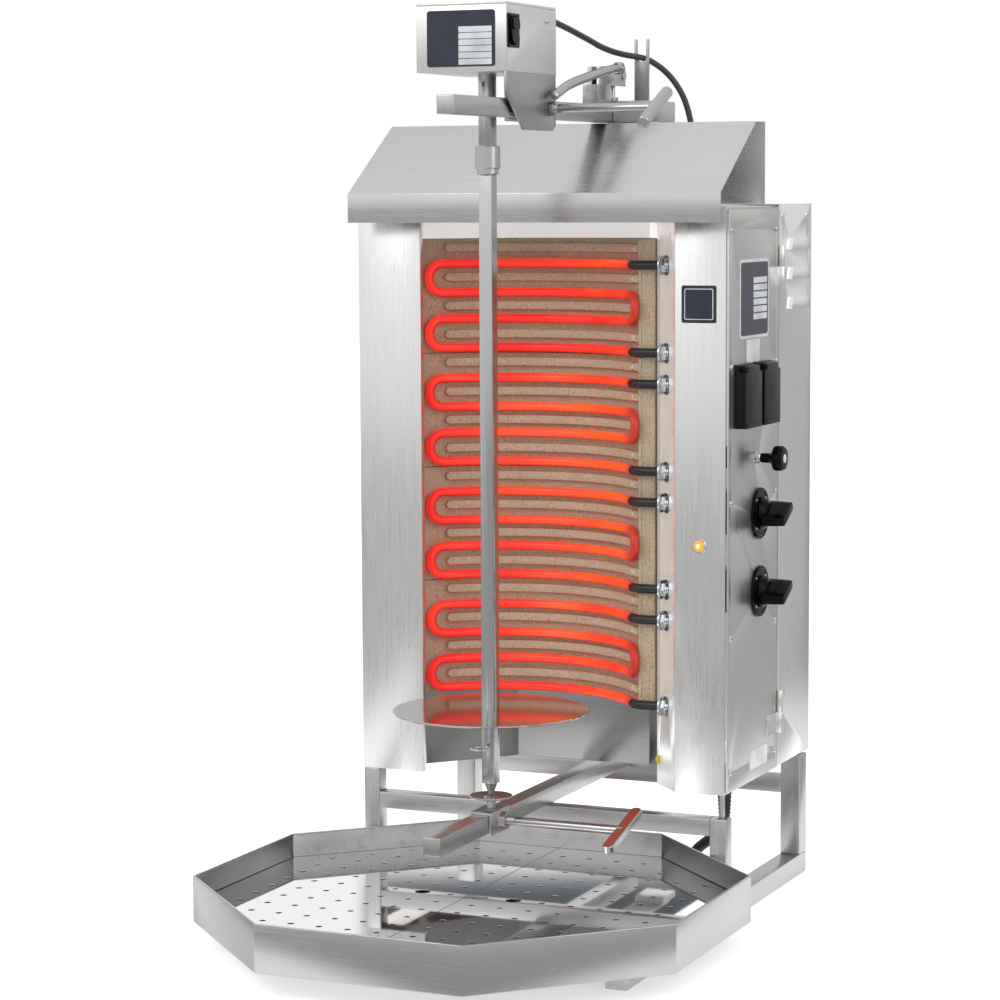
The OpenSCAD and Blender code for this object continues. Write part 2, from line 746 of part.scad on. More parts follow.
module skewer_bar() {
  color(steel) place() {
    difference() {
      block([-skewer_w / 2, skewer_y - skewer_w / 2, point_z], [skewer_w / 2, skewer_y + skewer_w / 2, bar_top_z]);
      translate([0, skewer_y - 10, clip_z]) rotate([-90, 0, 0]) cylinder(r = 1.5 + fit, h = 20);
    }
    rod_x(-skewer_w / 2 - 2, skewer_y, disc_z - gap - 2, 2, skewer_w + 4);
    translate([0, skewer_y, tip_z]) cylinder(r1 = 1.5, r2 = skewer_w / 2, h = point_z - tip_z);
  }
}

module meat_disc() {
  hole = skewer_w + 2 * gap;
  color([0.85, 0.85, 0.85]) place() difference() {
    translate([0, skewer_y, disc_z]) cylinder(d = disc_d, h = 2);
    translate([-hole / 2, skewer_y - hole / 2, disc_z - 1]) cube([hole, hole, 4]);
  }
}

// A round clip through the skewer's cross hole, with its ring at the front
module disc_clip() {
  color([0.7, 0.7, 0.7]) place() {
    translate([0, skewer_y - 18, clip_z]) rotate([-90, 0, 0]) cylinder(r = 1.5, h = 36);
    translate([0, skewer_y - 28, clip_z]) rotate_extrude() translate([11, 0]) circle(r = 1.5);
  }
}

// ---- lower bearing ----

module bearing_cup() {
  color(steel) place() translate([0, skewer_y, 0]) {
    rotate_extrude() polygon([[0, 152], [7, 152], [24, 156.5], [24, 158.5], [9, 155.5], [6, 158.5],
      [2.6, 158.5], [1.9, 156.4], [0, 156.4]]);
    translate([0, 0, arm_z0 + bar + 3]) cylinder(r = 5.5, h = 152 - arm_z0 - bar - 3, $fn = 6);
  }
}

module lower_saddle() {
  inner = bar / 2 + gap;
  top = arm_z0 + bar + gap;
  wall = 2.4;
  color(steel) place() {
    block([-inner - wall, -172, top], [inner + wall, -118, arm_z0 + bar + 3]);
    block([-inner - wall, -172, arm_z0 - 3], [-inner, -118, top]);
    difference() {
      block([inner, -172, arm_z0 - 3], [inner + wall, -118, top]);
      rod_x(inner - 1, skewer_y, arm_z0 + bar / 2, screw_r + gap, 5);
    }
    difference() {
      translate([inner + wall, skewer_y, arm_z0 + bar / 2]) rotate([0, 90, 0]) cylinder(r = 10, h = 7.5, $fn = 6);
      rod_x(inner, skewer_y, arm_z0 + bar / 2, screw_r + gap, 12);
    }
  }
}

// ---- tray ----

module drip_tray() {
  color(steel) place() translate([0, tray_y, rail]) difference() {
    linear_extrude(tray_h) octagon(tray_w);
    translate([0, 0, sheet]) linear_extrude(tray_h) octagon(tray_w - 2 * sheet);
  }
}

// One half of the perforated floor; side is -1 on the left and 1 on the right
module tray_insert(side) {
  edge = tray_w - 2 * sheet - 3;
  inner = side > 0 ? split_x + 0.6 : -edge;
  outer = side > 0 ? edge : split_x - 0.6;
  color([0.8, 0.8, 0.8]) place() translate([0, tray_y, rail + sheet + gap]) {
    difference() {
      translate([0, 0, tray_h - 30 - 1.5]) linear_extrude(1.5) intersection() {
        octagon(edge);
        translate([inner, -edge]) square([outer - inner, 2 * edge]);
      }
      for (i = [0 : 7]) for (j = [-8 : 7])
        let (x = split_x + side * (21.4 + i * drain_dx), y = drain_dy * (j + 0.5))
          if (abs(x) + abs(y) < edge * 0.68 && abs(x) < edge / 2 - 11 && abs(y) < edge / 2 - 11)
            translate([x, y, 0]) cylinder(d = drain_d, h = tray_h);
      translate([split_x + side * 55.6, drain_dy / 2, 0]) cylinder(r = 8.8, h = tray_h);
    }
    for (y = [-200, 160]) block([side * 60 - 8, y, 0], [side * 60 + 8, y + 12, tray_h - 31.5]);
  }
}

// ---- cords ----

module mains_gland() {
  color([0.12, 0.12, 0.12]) place() translate([gland_x, gland_y, 0]) {
    translate([0, 0, 141]) cylinder(r = 11, h = body_z + 0.5 - 141);
    translate([0, 0, 112]) cylinder(r1 = 6.9, r2 = 8.4, h = 29);
  }
}

module motor_cord_front() {
  color([0.2, 0.2, 0.2]) place() tube_along(cord_front, cord_d / 2, 8, [0, 0, 1]);
}

module motor_cord_rear() {
  color([0.2, 0.2, 0.2]) place() {
    tube_along(cord_rear, cord_d / 2, 8, [-1, 1, 0.2]);
    translate([128, 166, body_top_z + sheet]) cylinder(r = 7, h = 830 - body_top_z - sheet);
  }
}

module mains_lead() {
  color([0.1, 0.1, 0.1]) place() tube_along(lead_route, lead_d / 2, 8, [0.4, 0.9, 0.1]);
}

// The lead's coil, as one closed ring
module mains_coil() {
  half = lead_d * 1.1;
  color([0.12, 0.12, 0.12]) place() translate([coil_x, coil_y, 0]) rotate_extrude()
    translate([coil_r - half, 0.2]) square([2 * half, lead_d * coil_layers]);
}

// A round plug for a three-phase outlet, lying beside the coil
module mains_plug() {
  color([0.75, 0.1, 0.1]) place() translate([-62, 118, 22.2]) rotate([0, -90, 0]) {
    cylinder(r1 = 7.5, r2 = 17, h = 50);
    translate([0, 0, 50]) cylinder(r = 22, h = 62);
  }
}

base_rail(-half_w);  // base_rail_left
base_rail(half_w - rail);  // base_rail_right
front_legs();
rear_post(-half_w);  // rear_post_left
rear_post(half_w - rail);  // rear_post_right
front_crossbar();
rear_crossbar();
lower_arm();
left_panel();
control_cabinet();
side_panel();
back_wall();
rear_panel();
hood();
panel_screws();
rear_cover();
hinges();
ceramic_bricks();
heating_elements();
terminal_nuts();
terminal_block();
switch_bodies();
control_bezels();
knob(knob_zs[0], -62);  // knob_upper
knob(knob_zs[1], -62);  // knob_lower
pull_knob();
socket_housings();
socket_lid(socket_ys[0]);  // socket_lid_front
socket_lid(socket_ys[1]);  // socket_lid_rear
indicator_lamp();
label_plates();
arm_pillar();
upper_arm();
cable_fork();
cam_lever();
latch_clamp();
motor_box();
motor_cover();
motor_bracket();
gear_motor();
motor_label();
rocker_switch();
upper_clamp_screw();
drive_shaft();
coupling_sleeve();
skewer_bar();
meat_disc();
disc_clip();
bearing_cup();
lower_saddle();
lower_clamp_screw();
drip_tray();
tray_insert(-1);  // tray_insert_left
tray_insert(1);  // tray_insert_right
motor_cord_front();
motor_cord_rear();
mains_gland();
mains_lead();
mains_coil();
mains_plug();
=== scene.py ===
"""Looks of the vertical rotisserie broiler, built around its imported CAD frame.

Lengths of the pieces are millimetres, with Y measured from the cabinet's front face, and at() turns
them into the frame's metres. Lengths in the materials are metres.
"""
import json
import math

import bmesh
import bpy
from mathutils import Matrix, Vector

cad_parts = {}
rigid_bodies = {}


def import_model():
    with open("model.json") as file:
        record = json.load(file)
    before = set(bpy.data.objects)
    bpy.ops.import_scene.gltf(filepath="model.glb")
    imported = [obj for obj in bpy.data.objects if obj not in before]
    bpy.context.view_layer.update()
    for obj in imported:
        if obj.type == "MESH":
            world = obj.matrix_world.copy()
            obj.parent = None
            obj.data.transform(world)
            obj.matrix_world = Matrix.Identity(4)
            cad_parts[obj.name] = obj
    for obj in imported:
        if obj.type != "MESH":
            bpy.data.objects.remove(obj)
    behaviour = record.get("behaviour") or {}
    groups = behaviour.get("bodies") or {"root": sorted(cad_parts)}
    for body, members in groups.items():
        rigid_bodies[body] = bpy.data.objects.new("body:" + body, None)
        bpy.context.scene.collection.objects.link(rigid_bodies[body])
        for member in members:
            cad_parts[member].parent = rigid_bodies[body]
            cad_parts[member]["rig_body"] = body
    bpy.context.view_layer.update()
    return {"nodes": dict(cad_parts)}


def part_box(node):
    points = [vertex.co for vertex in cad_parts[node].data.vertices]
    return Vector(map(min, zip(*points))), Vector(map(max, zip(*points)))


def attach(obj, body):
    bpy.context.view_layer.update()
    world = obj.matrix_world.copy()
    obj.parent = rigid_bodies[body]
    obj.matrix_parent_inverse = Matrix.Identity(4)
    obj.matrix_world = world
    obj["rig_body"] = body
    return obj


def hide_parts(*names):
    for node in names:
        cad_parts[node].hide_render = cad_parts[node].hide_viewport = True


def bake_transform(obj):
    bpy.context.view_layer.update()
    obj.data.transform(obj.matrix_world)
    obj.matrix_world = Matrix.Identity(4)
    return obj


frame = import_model()

MM = 0.001
FRONT_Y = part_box("left_panel")[0].y
HALF_W = -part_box("left_panel")[0].x / MM


def at(x, y, z):
    """A point of the frame in metres, from millimetres measured from the cabinet's front face."""
    return Vector((x * MM, FRONT_Y + y * MM, z * MM))


def span(node):
    """A node's low and high corners, in millimetres from the cabinet's front face."""
    low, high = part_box(node)
    shift = Vector((0, FRONT_Y, 0))
    return (low - shift) / MM, (high - shift) / MM


# ---------------------------------------------------------------- camera, light and floor

CAMERA_AT = (1328.7, -3129.8, 825.7)
CAMERA_TURN = 23.77
CAMERA_DOWN = 5.84
CAMERA_ROLL = -0.28
# the camera's heading over the floor, and the direction to its right
HEADING = Vector((-0.4031, 0.9152, 0))
RIGHTWARD = Vector((0.9152, 0.4031, 0))


def make_camera():
    data = bpy.data.cameras.new("camera")
    data.sensor_width = 36
    data.lens = 106.5
    data.clip_end = 40
    camera = bpy.data.objects.new("camera", data)
    turn, down, roll = (math.radians(a) for a in (CAMERA_TURN, CAMERA_DOWN, CAMERA_ROLL))
    ahead = Vector((-math.sin(turn) * math.cos(down), math.cos(turn) * math.cos(down),
                    -math.sin(down)))
    level = Vector((math.cos(turn), math.sin(turn), 0))
    upright = level.cross(ahead)
    right = level * math.cos(roll) + upright * math.sin(roll)
    up = upright * math.cos(roll) - level * math.sin(roll)
    place = Matrix((right, up, -ahead)).transposed().to_4x4()
    place.translation = at(*CAMERA_AT)
    camera.matrix_world = place
    bpy.context.scene.collection.objects.link(camera)
    bpy.context.scene.camera = camera


def make_light(name, place, target, size, power, colour=(1, 1, 1)):
    data = bpy.data.lights.new(name, "AREA")
    data.shape = "RECTANGLE"
    data.size, data.size_y = size
    data.energy = power
    data.color = colour
    light = bpy.data.objects.new(name, data)
    light.location = place
    light.rotation_euler = (Vector(target) - Vector(place)).to_track_quat("-Z", "Y").to_euler()
    bpy.context.scene.collection.objects.link(light)


def feed(tree, socket, value):
    """Gives a node's input a number, a colour or another node's output."""
    if isinstance(value, (int, float)):
        socket.default_value = value
    elif isinstance(value, tuple):
        socket.default_value = (*value, 1)
    else:
        tree.links.new(value, socket)


def ramp(tree, value, stops):
    """A colour ramp over value, with stops of (place, grey or colour)."""
    node = tree.nodes.new("ShaderNodeValToRGB")
    while len(node.color_ramp.elements) < len(stops):
        node.color_ramp.elements.new(0.5)
    for element, (place, colour) in zip(node.color_ramp.elements, stops):
        element.position = place
        shade = (colour,) * 3 if isinstance(colour, (int, float)) else colour
        element.color = (*shade, 1)
    tree.links.new(value, node.inputs[0])
    return node.outputs["Color"]


def along(tree, vector, direction, shift=0.0):
    """How far a vector reaches along a direction."""
    node = tree.nodes.new("ShaderNodeVectorMath")
    node.operation = "DOT_PRODUCT"
    tree.links.new(vector, node.inputs[0])
    node.inputs[1].default_value = direction
    return maths(tree, "ADD", node.outputs["Value"], shift)


def maths(tree, kind, a, b=0.0):
    node = tree.nodes.new("ShaderNodeMath")
    node.operation = kind
    feed(tree, node.inputs[0], a)
    feed(tree, node.inputs[1], b)
    return node.outputs[0]


def both(tree, a, b):
    """The product of two masks or numbers."""
    return maths(tree, "MULTIPLY", a, b)


def opposite(tree, mask):
    return maths(tree, "SUBTRACT", 1.0, mask)


def step(tree, value, low, high):
    """A smooth step from 0 at low to 1 at high."""
    node = tree.nodes.new("ShaderNodeMapRange")
    node.interpolation_type = "SMOOTHSTEP"
    node.inputs["From Min"].default_value = low
    node.inputs["From Max"].default_value = high
    tree.links.new(value, node.inputs["Value"])
    return node.outputs[0]


def make_world():
    """A grey studio: a white wall behind the machine with a dark card high on it, a pale ceiling,
    and grey surroundings that are brighter behind the camera and on the left."""
    world = bpy.data.worlds.new("studio")
    bpy.context.scene.world = world
    world.use_nodes = True
    tree = world.node_tree
    way = tree.nodes.new("ShaderNodeTexCoord").outputs["Generated"]
    height = along(tree, way, (0, 0, 1))
    ahead = along(tree, way, HEADING)
    beside = along(tree, way, RIGHTWARD)
    level = tree.nodes.new("ShaderNodeMapRange")
    level.inputs["From Min"].default_value = -1
    tree.links.new(height, level.inputs["Value"])
    fore = ramp(tree, level.outputs[0], [(0, 0.30), (0.44, 0.50), (0.50, 0.88), (0.56, 0.96),
                                         (0.75, 0.92), (1, 0.92)])
    rear = ramp(tree, level.outputs[0], [(0, 0.25), (0.46, 0.45), (0.52, 0.74), (0.70, 0.72),
                                         (1, 0.92)])
    away = maths(tree, "SUBTRACT", ahead, both(tree, beside, -0.6))
    tone = mixed(tree, step(tree, away, -0.35, 0.45), fore, rear)
    wall = both(tree, step(tree, ahead, 0.925, 0.965), opposite(tree, step(tree, height, 0.30, 0.40)))
    card_height = both(tree, step(tree, height, 0.221, 0.231),
                       step(tree, both(tree, height, -1.0), -0.5, -0.4))
    card = both(tree, step(tree, beside, -0.050, -0.040), card_height)
    walled = mixed(tree, both(tree, wall, opposite(tree, card)), tone, (1, 1, 1))
    hung = both(tree, card, step(tree, ahead, 0.88, 0.93))
    background = tree.nodes["Background"]
    feed(tree, background.inputs["Color"], mixed(tree, hung, walled, (0.085, 0.10, 0.11)))
    background.inputs["Strength"].default_value = 1.0


def floor_material():
    """White paper behind and under the machine, on a grey floor."""
    material, tree, shader = new_material("floor_paper")
    spot = own_place(tree)
    stand = at(*CAMERA_AT)
    depth = along(tree, spot, HEADING, -stand.dot(HEADING))
    aside = along(tree, spot, RIGHTWARD, -stand.dot(RIGHTWARD))
    slope = maths(tree, "DIVIDE", maths(tree, "ABSOLUTE", aside), maths(tree, "MAXIMUM", depth, 0.1))
    paper = both(tree, step(tree, depth, 2.86, 2.95), opposite(tree, step(tree, slope, 0.178, 0.195)))
    tone = ramp(tree, paper, [(0, 0.46), (1, 0.94)])
    dress(tree, shader, colour=tone, rough=0.95, glow_colour=tone,
          glow=ramp(tree, paper, [(0, 0.0), (1, 0.45)]))
    return material


def make_studio():
    make_world()
    make_light("key", at(-1500, -2600, 2600), at(0, 0, 500), (1.8, 1.2), 20)
    make_light("side", at(2600, -600, 1700), at(200, 100, 500), (1.4, 1.8), 10)
    bpy.ops.mesh.primitive_plane_add(size=24, location=(0, 0, -0.0006))
    floor = bpy.context.object
    floor.name = "studio_floor"
    floor.data.materials.append(floor_material())
    bpy.context.scene.view_settings.view_transform = "Standard"


# ---------------------------------------------------------------- materials

INPUTS = {"colour": "Base Color", "rough": "Roughness", "metal": "Metallic", "glow": "Emission Strength",
          "glow_colour": "Emission Color", "shine": "Specular IOR Level"}


def new_material(name):
    material = bpy.data.materials.new(name)
    material.use_nodes = True
    return material, material.node_tree, material.node_tree.nodes["Principled BSDF"]


def dress(tree, shader, **looks):
    """Sets a shader's inputs by their short names."""
    for name, value in looks.items():
        feed(tree, shader.inputs[INPUTS[name]], value)


def lamp_plastic(name, colour, glow):
    """Coloured plastic that is lit from behind."""
    material, tree, shader = new_material(name)
    dress(tree, shader, colour=colour, rough=0.15, glow_colour=colour, glow=glow)
    return material


def own_place(tree):
    """Where on its piece a point is, in metres of the piece's own axes."""
    return tree.nodes.new("ShaderNodeTexCoord").outputs["Object"]


def noise(tree, scale, stretch=(1, 1, 1), detail=3.0, rough=0.5):
    """Noise in the piece's own metres; stretch below 1 draws it out along that axis."""
    mapping = tree.nodes.new("ShaderNodeMapping")
    mapping.inputs["Scale"].default_value = stretch
    tree.links.new(own_place(tree), mapping.inputs[0])
    node = tree.nodes.new("ShaderNodeTexNoise")
    node.inputs["Scale"].default_value = scale
    node.inputs["Detail"].default_value = detail
    node.inputs["Roughness"].default_value = rough
    tree.links.new(mapping.outputs[0], node.inputs["Vector"])
    return node.outputs["Fac"]


def bump(tree, shader, height, strength, distance):
    node = tree.nodes.new("ShaderNodeBump")
    node.inputs["Strength"].default_value = strength
    node.inputs["Distance"].default_value = distance
    tree.links.new(height, node.inputs["Height"])
    tree.links.new(node.outputs[0], shader.inputs["Normal"])


def mixed(tree, factor, a, b):
    """A colour that goes from a to b with factor; a and b are colours or sockets."""
    node = tree.nodes.new("ShaderNodeMix")
    node.data_type = "RGBA"
    for name, value in (("Factor", factor), ("A", a), ("B", b)):
        feed(tree, node.inputs[name], value)
    return node.outputs["Result"]


def dim(colour, k):
    return tuple(c * k for c in colour)


LENGTHWISE = {"X": (0.02, 1, 1), "Y": (1, 0.02, 1), "Z": (1, 1, 0.02)}


def brushed(name, colour, rough, grain="Z", scratch=0.10, cloud=0.05):
    """Brushed sheet: fine lines along the grain, and large soft clouds from handling."""
    material, tree, shader = new_material(name)
    lines = noise(tree, 900, LENGTHWISE[grain], detail=4, rough=0.7)
    clouds = ramp(tree, noise(tree, 4.5, detail=2), [(0.35, 0.0), (0.75, 0.5)])
    tone = ramp(tree, lines, [(0.3, dim(colour, 1 - scratch)), (0.7, dim(colour, 1 + scratch * 0.6))])
    dress(tree, shader, colour=mixed(tree, clouds, tone, dim(colour, 1 - cloud * 2)), metal=1,
          rough=ramp(tree, lines, [(0.25, rough * 0.8), (0.75, rough * 1.25)]))
    bump(tree, shader, lines, 0.12, 0.0002)
    return material


def lit_fold(material):
    """Adds a faint glow to the cabinet's slanted fold, left of its front, to match the photograph."""
    tree = material.node_tree
    fold = opposite(tree, step(tree, along(tree, own_place(tree), (1, 0, 0)), 0.1655, 0.1665))
    dress(tree, tree.nodes["Principled BSDF"], glow_colour=(1, 0.97, 0.95), glow=both(tree, fold, 0.30))
    return material


def shaded_wall(name):
    """The sheet behind the bricks: painted shade low down and painted light at the top, where a
    strip glows faintly as a painted highlight."""
    material, tree, shader = new_material(name)
    # Painted shade and painted light by height: dark grey low down, near white at the top.
    height = step(tree, along(tree, own_place(tree), (0, 0, 1)), 0.20, 0.78)
    lines = noise(tree, 900, LENGTHWISE["X"], detail=4, rough=0.7)
    grain = ramp(tree, lines, [(0.3, (0.26, 0.26, 0.255)), (0.7, (0.32, 0.32, 0.315))])
    # The faint glow at the very top is a painted highlight; the sheet is no lamp.
    dress(tree, shader, colour=mixed(tree, height, grain, (0.93, 0.93, 0.92)), metal=1,
          rough=ramp(tree, lines, [(0.25, 0.26), (0.75, 0.38)]), glow_colour=(1, 1, 1),
          glow=ramp(tree, height, [(0.97, 0.0), (1.0, 0.42)]))
    bump(tree, shader, lines, 0.12, 0.0002)
    return material


def polished(name, colour, rough, wear=0.06):
    """Turned or polished metal: nearly smooth, with faint marks."""
    material, tree, shader = new_material(name)
    marks = noise(tree, 520, detail=4, rough=0.5)
    dress(tree, shader, colour=ramp(tree, marks, [(0.3, dim(colour, 1 - wear)), (0.7, colour)]), metal=1,
          rough=ramp(tree, marks, [(0.3, rough * 0.9), (0.75, rough * 1.15)]))
    bump(tree, shader, marks, 0.02, 0.0001)
    return material


def moulded(name, colour, rough, texture=0.15, scale=1800, shine=0.5):
    """Moulded plastic: fine spark-eroded texture and slightly shiny worn patches."""
    material, tree, shader = new_material(name)
    pits = noise(tree, scale, detail=2)
    wear = noise(tree, 40, detail=3)
    dress(tree, shader, colour=ramp(tree, wear, [(0.3, dim(colour, 0.85)), (0.75, dim(colour, 1.25))]),
          rough=ramp(tree, wear, [(0.3, rough * 0.85), (0.75, min(rough * 1.2, 1))]), shine=shine)
    bump(tree, shader, pits, texture, 0.0002)
    return material


def ceramic(name, colour, speckle, rough=0.9):
    """Fired fibre board: brown with dark and pale flecks and a dry, pitted face."""
    material, tree, shader = new_material(name)
    flecks = noise(tree, 420, detail=5, rough=0.75)
    cloud = ramp(tree, noise(tree, 14, detail=3), [(0.3, 0.0), (0.8, 0.45)])
    tone = ramp(tree, flecks, [(0.30, speckle), (0.44, dim(colour, 0.86)), (0.56, colour),
                               (0.72, dim(colour, 1.32))])
    dress(tree, shader, colour=mixed(tree, cloud, tone, dim(colour, 0.72)), rough=rough)
    bump(tree, shader, flecks, 0.45, 0.0006)
    return material


def glowing(name):
    """The element's sheath at red heat: more orange in its hottest stretches, dimmer towards its
    right end, and with painted shade where its surface faces away from the front."""
    material, tree, shader = new_material(name)
    spot = tree.nodes.new("ShaderNodeTexCoord")
    across = along(tree, spot.outputs["Object"], (1, 0, 0))
    warmth = maths(tree, "ADD", 0.75, both(tree, step(tree, across, -0.12, 0.05), 0.45))
    heat = both(tree, noise(tree, 9, detail=1.5), warmth)
    tone = ramp(tree, heat, [(0.28, (0.80, 0.012, 0.010)), (0.46, (1.0, 0.035, 0.014)),
                             (0.72, (1.0, 0.11, 0.020))])
    # Painted shade: by the surface's facing, the glow goes to a dark red (0.34, 0.004, 0.004) on the side
    # that faces away from the front.
    front = step(tree, along(tree, spot.outputs["Normal"], (0.0, -0.94, 0.34)), -0.1, 0.75)
    ends = opposite(tree, both(tree, step(tree, across, 0.082, 0.106), 0.62))
    scale = noise(tree, 500, detail=3)
    dress(tree, shader, glow_colour=mixed(tree, front, (0.34, 0.004, 0.004), tone),
          glow=both(tree, ends, 0.95), rough=ramp(tree, scale, [(0.3, 0.28), (0.7, 0.42)]),
          colour=ramp(tree, scale, [(0.3, (0.20, 0.012, 0.008)), (0.7, (0.34, 0.02, 0.012))]))
    return material


def make_materials():
    steel = (0.56, 0.56, 0.555)
    return {
        "panel": brushed("panel_steel", (0.80, 0.80, 0.795), 0.28, "Z"),
        "cabinet": lit_fold(brushed("cabinet_steel", (0.80, 0.80, 0.795), 0.28, "Z")),
        "side": brushed("side_steel", (0.70, 0.685, 0.665), 0.34, "Z"),
        "cover": brushed("cover_steel", (0.92, 0.915, 0.905), 0.24, "Z", scratch=0.04, cloud=0.03),
        "wall": shaded_wall("wall_steel_painted_light"),
        "hood": brushed("hood_steel", (0.66, 0.665, 0.66), 0.26, "X"),
        "tube_x": brushed("tube_steel_x", steel, 0.30, "X"),
        "tube_y": brushed("tube_steel_y", steel, 0.30, "Y"),
        "tube_z": brushed("tube_steel_z", steel, 0.30, "Z"),
        "box": brushed("motor_box_steel", (0.86, 0.855, 0.84), 0.42, "Z"),
        "bracket": brushed("bracket_steel", (0.42, 0.425, 0.42), 0.36, "Z"),
        "tray": brushed("tray_steel", (0.52, 0.525, 0.52), 0.24, "X"),
        # Painted shade: a darker copy of the tray steel, for the walls that face left.
        "tray_left": brushed("tray_steel_painted_shade", (0.30, 0.305, 0.30), 0.24, "Y"),
        "mirror": polished("mirror_steel", (0.86, 0.85, 0.855), 0.035, wear=0.02),
        "disc": polished("disc_steel", (0.62, 0.615, 0.61), 0.09, wear=0.02),
        "bar": polished("bar_steel", (0.50, 0.505, 0.51), 0.22, wear=0.04),
        "zinc": polished("zinc_plate", (0.66, 0.70, 0.74), 0.20, wear=0.08),
        "casting": polished("motor_casting", (0.45, 0.46, 0.47), 0.5, wear=0.12),
        "black": moulded("black_plastic", (0.003, 0.003, 0.0033), 0.15, texture=0.02, shine=0.10),
        "grey": moulded("lid_plastic", (0.008, 0.010, 0.012), 0.34, shine=0.16),
        "white": moulded("white_plastic", (0.75, 0.74, 0.70), 0.4, texture=0.05),
        "red": moulded("plug_plastic", (0.42, 0.02, 0.015), 0.35),
        "cord": moulded("cord_rubber", (0.035, 0.037, 0.040), 0.45, scale=900),
        "lead": moulded("lead_rubber", (0.014, 0.014, 0.015), 0.5, scale=900),
        "brick": ceramic("brick_ceramic", (0.68, 0.53, 0.365), (0.15, 0.105, 0.065)),
        # The pale ceramic is a painted highlight on the lit right ends of the ridges.
        "pale": ceramic("ceramic_painted_highlight", (0.90, 0.76, 0.56), (0.45, 0.35, 0.24)),
        "hot": glowing("hot_sheath_painted_shade"),
        "cold": moulded("cold_sheath", (0.018, 0.018, 0.020), 0.38, scale=700),
        "label": moulded("label_film", (0.020, 0.026, 0.045), 0.30, texture=0.03),
        "paper": moulded("label_field", (0.72, 0.74, 0.76), 0.38, texture=0.03),
        "yellow": moulded("earth_film", (0.70, 0.62, 0.02), 0.4, texture=0.03),
        "lamp": lamp_plastic("lamp_lens", (1.0, 0.20, 0.02), 1.6),
        "core": lamp_plastic("lamp_core", (1.0, 0.72, 0.30), 2.2),
    }


# ---------------------------------------------------------------- mesh helpers

def shade(mesh, angle):
    """Shades a mesh smooth, and leaves creases above an angle sharp."""
    mesh.polygons.foreach_set("use_smooth", [True] * len(mesh.polygons))
    mesh.set_sharp_from_angle(angle=math.radians(angle))


def link(name, mesh, body, *materials, smooth=35):
    """A mesh object in the scene with its materials, shaded smooth up to an angle."""
    piece = bpy.data.objects.new(name, mesh)
    bpy.context.scene.collection.objects.link(piece)
    for material in materials:
        mesh.materials.append(M[material])
    shade(mesh, smooth)
    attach(piece, body)
    return piece


def from_bmesh(name, bm, body, *materials, smooth=35):
    bmesh.ops.recalc_face_normals(bm, faces=bm.faces[:])
    mesh = bpy.data.meshes.new(name)
    bm.to_mesh(mesh)
    bm.free()
    return link(name, mesh, body, *materials, smooth=smooth)


def baked(piece):
    """The mesh of an object with its modifiers or its curve's bevel worked in."""
    bpy.context.view_layer.update()
    graph = bpy.context.evaluated_depsgraph_get()
    return bpy.data.meshes.new_from_object(piece.evaluated_get(graph))


def bevel(piece, width, segments=2, angle=32):
    """Rounds the piece's edges by a width in millimetres."""
    modifier = piece.modifiers.new("bevel", "BEVEL")
    modifier.width = width * MM
    modifier.segments = segments
    modifier.limit_method = "ANGLE"
    modifier.angle_limit = math.radians(angle)
    modifier.use_clamp_overlap = True
    mesh = baked(piece)
    piece.modifiers.clear()
    piece.data = mesh


def refined(node, material, width=0.5, segments=2):
    """A CAD node with its edges rounded, standing for the node itself."""
    source = frame["nodes"][node]
    bm = bmesh.new()
    bm.from_mesh(source.data)
    bmesh.ops.remove_doubles(bm, verts=bm.verts[:], dist=2e-6)
    bmesh.ops.dissolve_limit(bm, angle_limit=math.radians(0.6), verts=bm.verts[:], edges=bm.edges[:])
    for face in bm.faces:
        face.material_index = 0
    mesh = bpy.data.meshes.new(node + "_skin")
    bm.to_mesh(mesh)
    bm.free()
    piece = link(node + "_skin", mesh, source["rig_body"], material)
    bevel(piece, width, segments)
    shade(piece.data, 35)
    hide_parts(node)
    return piece


def circle(count, start=0.0):
    """The cosine and sine of evenly spaced angles round a circle."""
    angles = [math.radians(start) + 2 * math.pi * k / count for k in range(count)]
    return [(math.cos(a), math.sin(a)) for a in angles]


def cushion(power, count):
    """Points of a square from -1 to 1 with round corners; a higher power is squarer."""
    made = []
    for c, s in circle(count):
        reach = (abs(c) ** power + abs(s) ** power) ** (-1 / power)
        made.append((c * reach, s * reach))
    return made


def loft(bm, rings, marks=None, closed=False):
    """Bands of faces from each ring of points to the next, with the two ends filled.

    A ring of one point makes a tip, closed joins the last ring to the first instead of filling the
    ends, and marks gives each ring's material index.
    """
    made = [[bm.verts.new(point) for point in ring] for ring in rings]
    count = max(len(ring) for ring in made)
    marks = marks or [0] * len(made)
    for a, b, mark in zip(made, made[1:] + made[:1] if closed else made[1:], marks):
        for k in range(count):
            j = k + 1
            corners = (a[k % len(a)], a[j % len(a)], b[j % len(b)], b[k % len(b)])
            bm.faces.new(dict.fromkeys(corners)).material_index = mark
    for ring, mark in ((made[0], marks[0]), (made[-1], marks[-1])):
        if len(ring) > 2 and not closed:
            bm.faces.new(ring).material_index = mark


def box_part(bm, low, high):
    """A box between two corners in millimetres, added to a bmesh."""
    made = bmesh.ops.create_cube(bm, size=1)["verts"]
    low, high = at(*low), at(*high)
    for v in made:
        v.co = Vector([low[i] if v.co[i] < 0 else high[i] for i in range(3)])


AXES = {"Z": Matrix.Identity(3), "X": Matrix(((0, 0, 1), (1, 0, 0), (0, 1, 0))),
        "-X": Matrix(((0, 0, -1), (1, 0, 0), (0, 1, 0))), "Y": Matrix(((0, 1, 0), (0, 0, 1), (1, 0, 0))),
        "-Y": Matrix(((1, 0, 0), (0, 0, -1), (0, 1, 0)))}


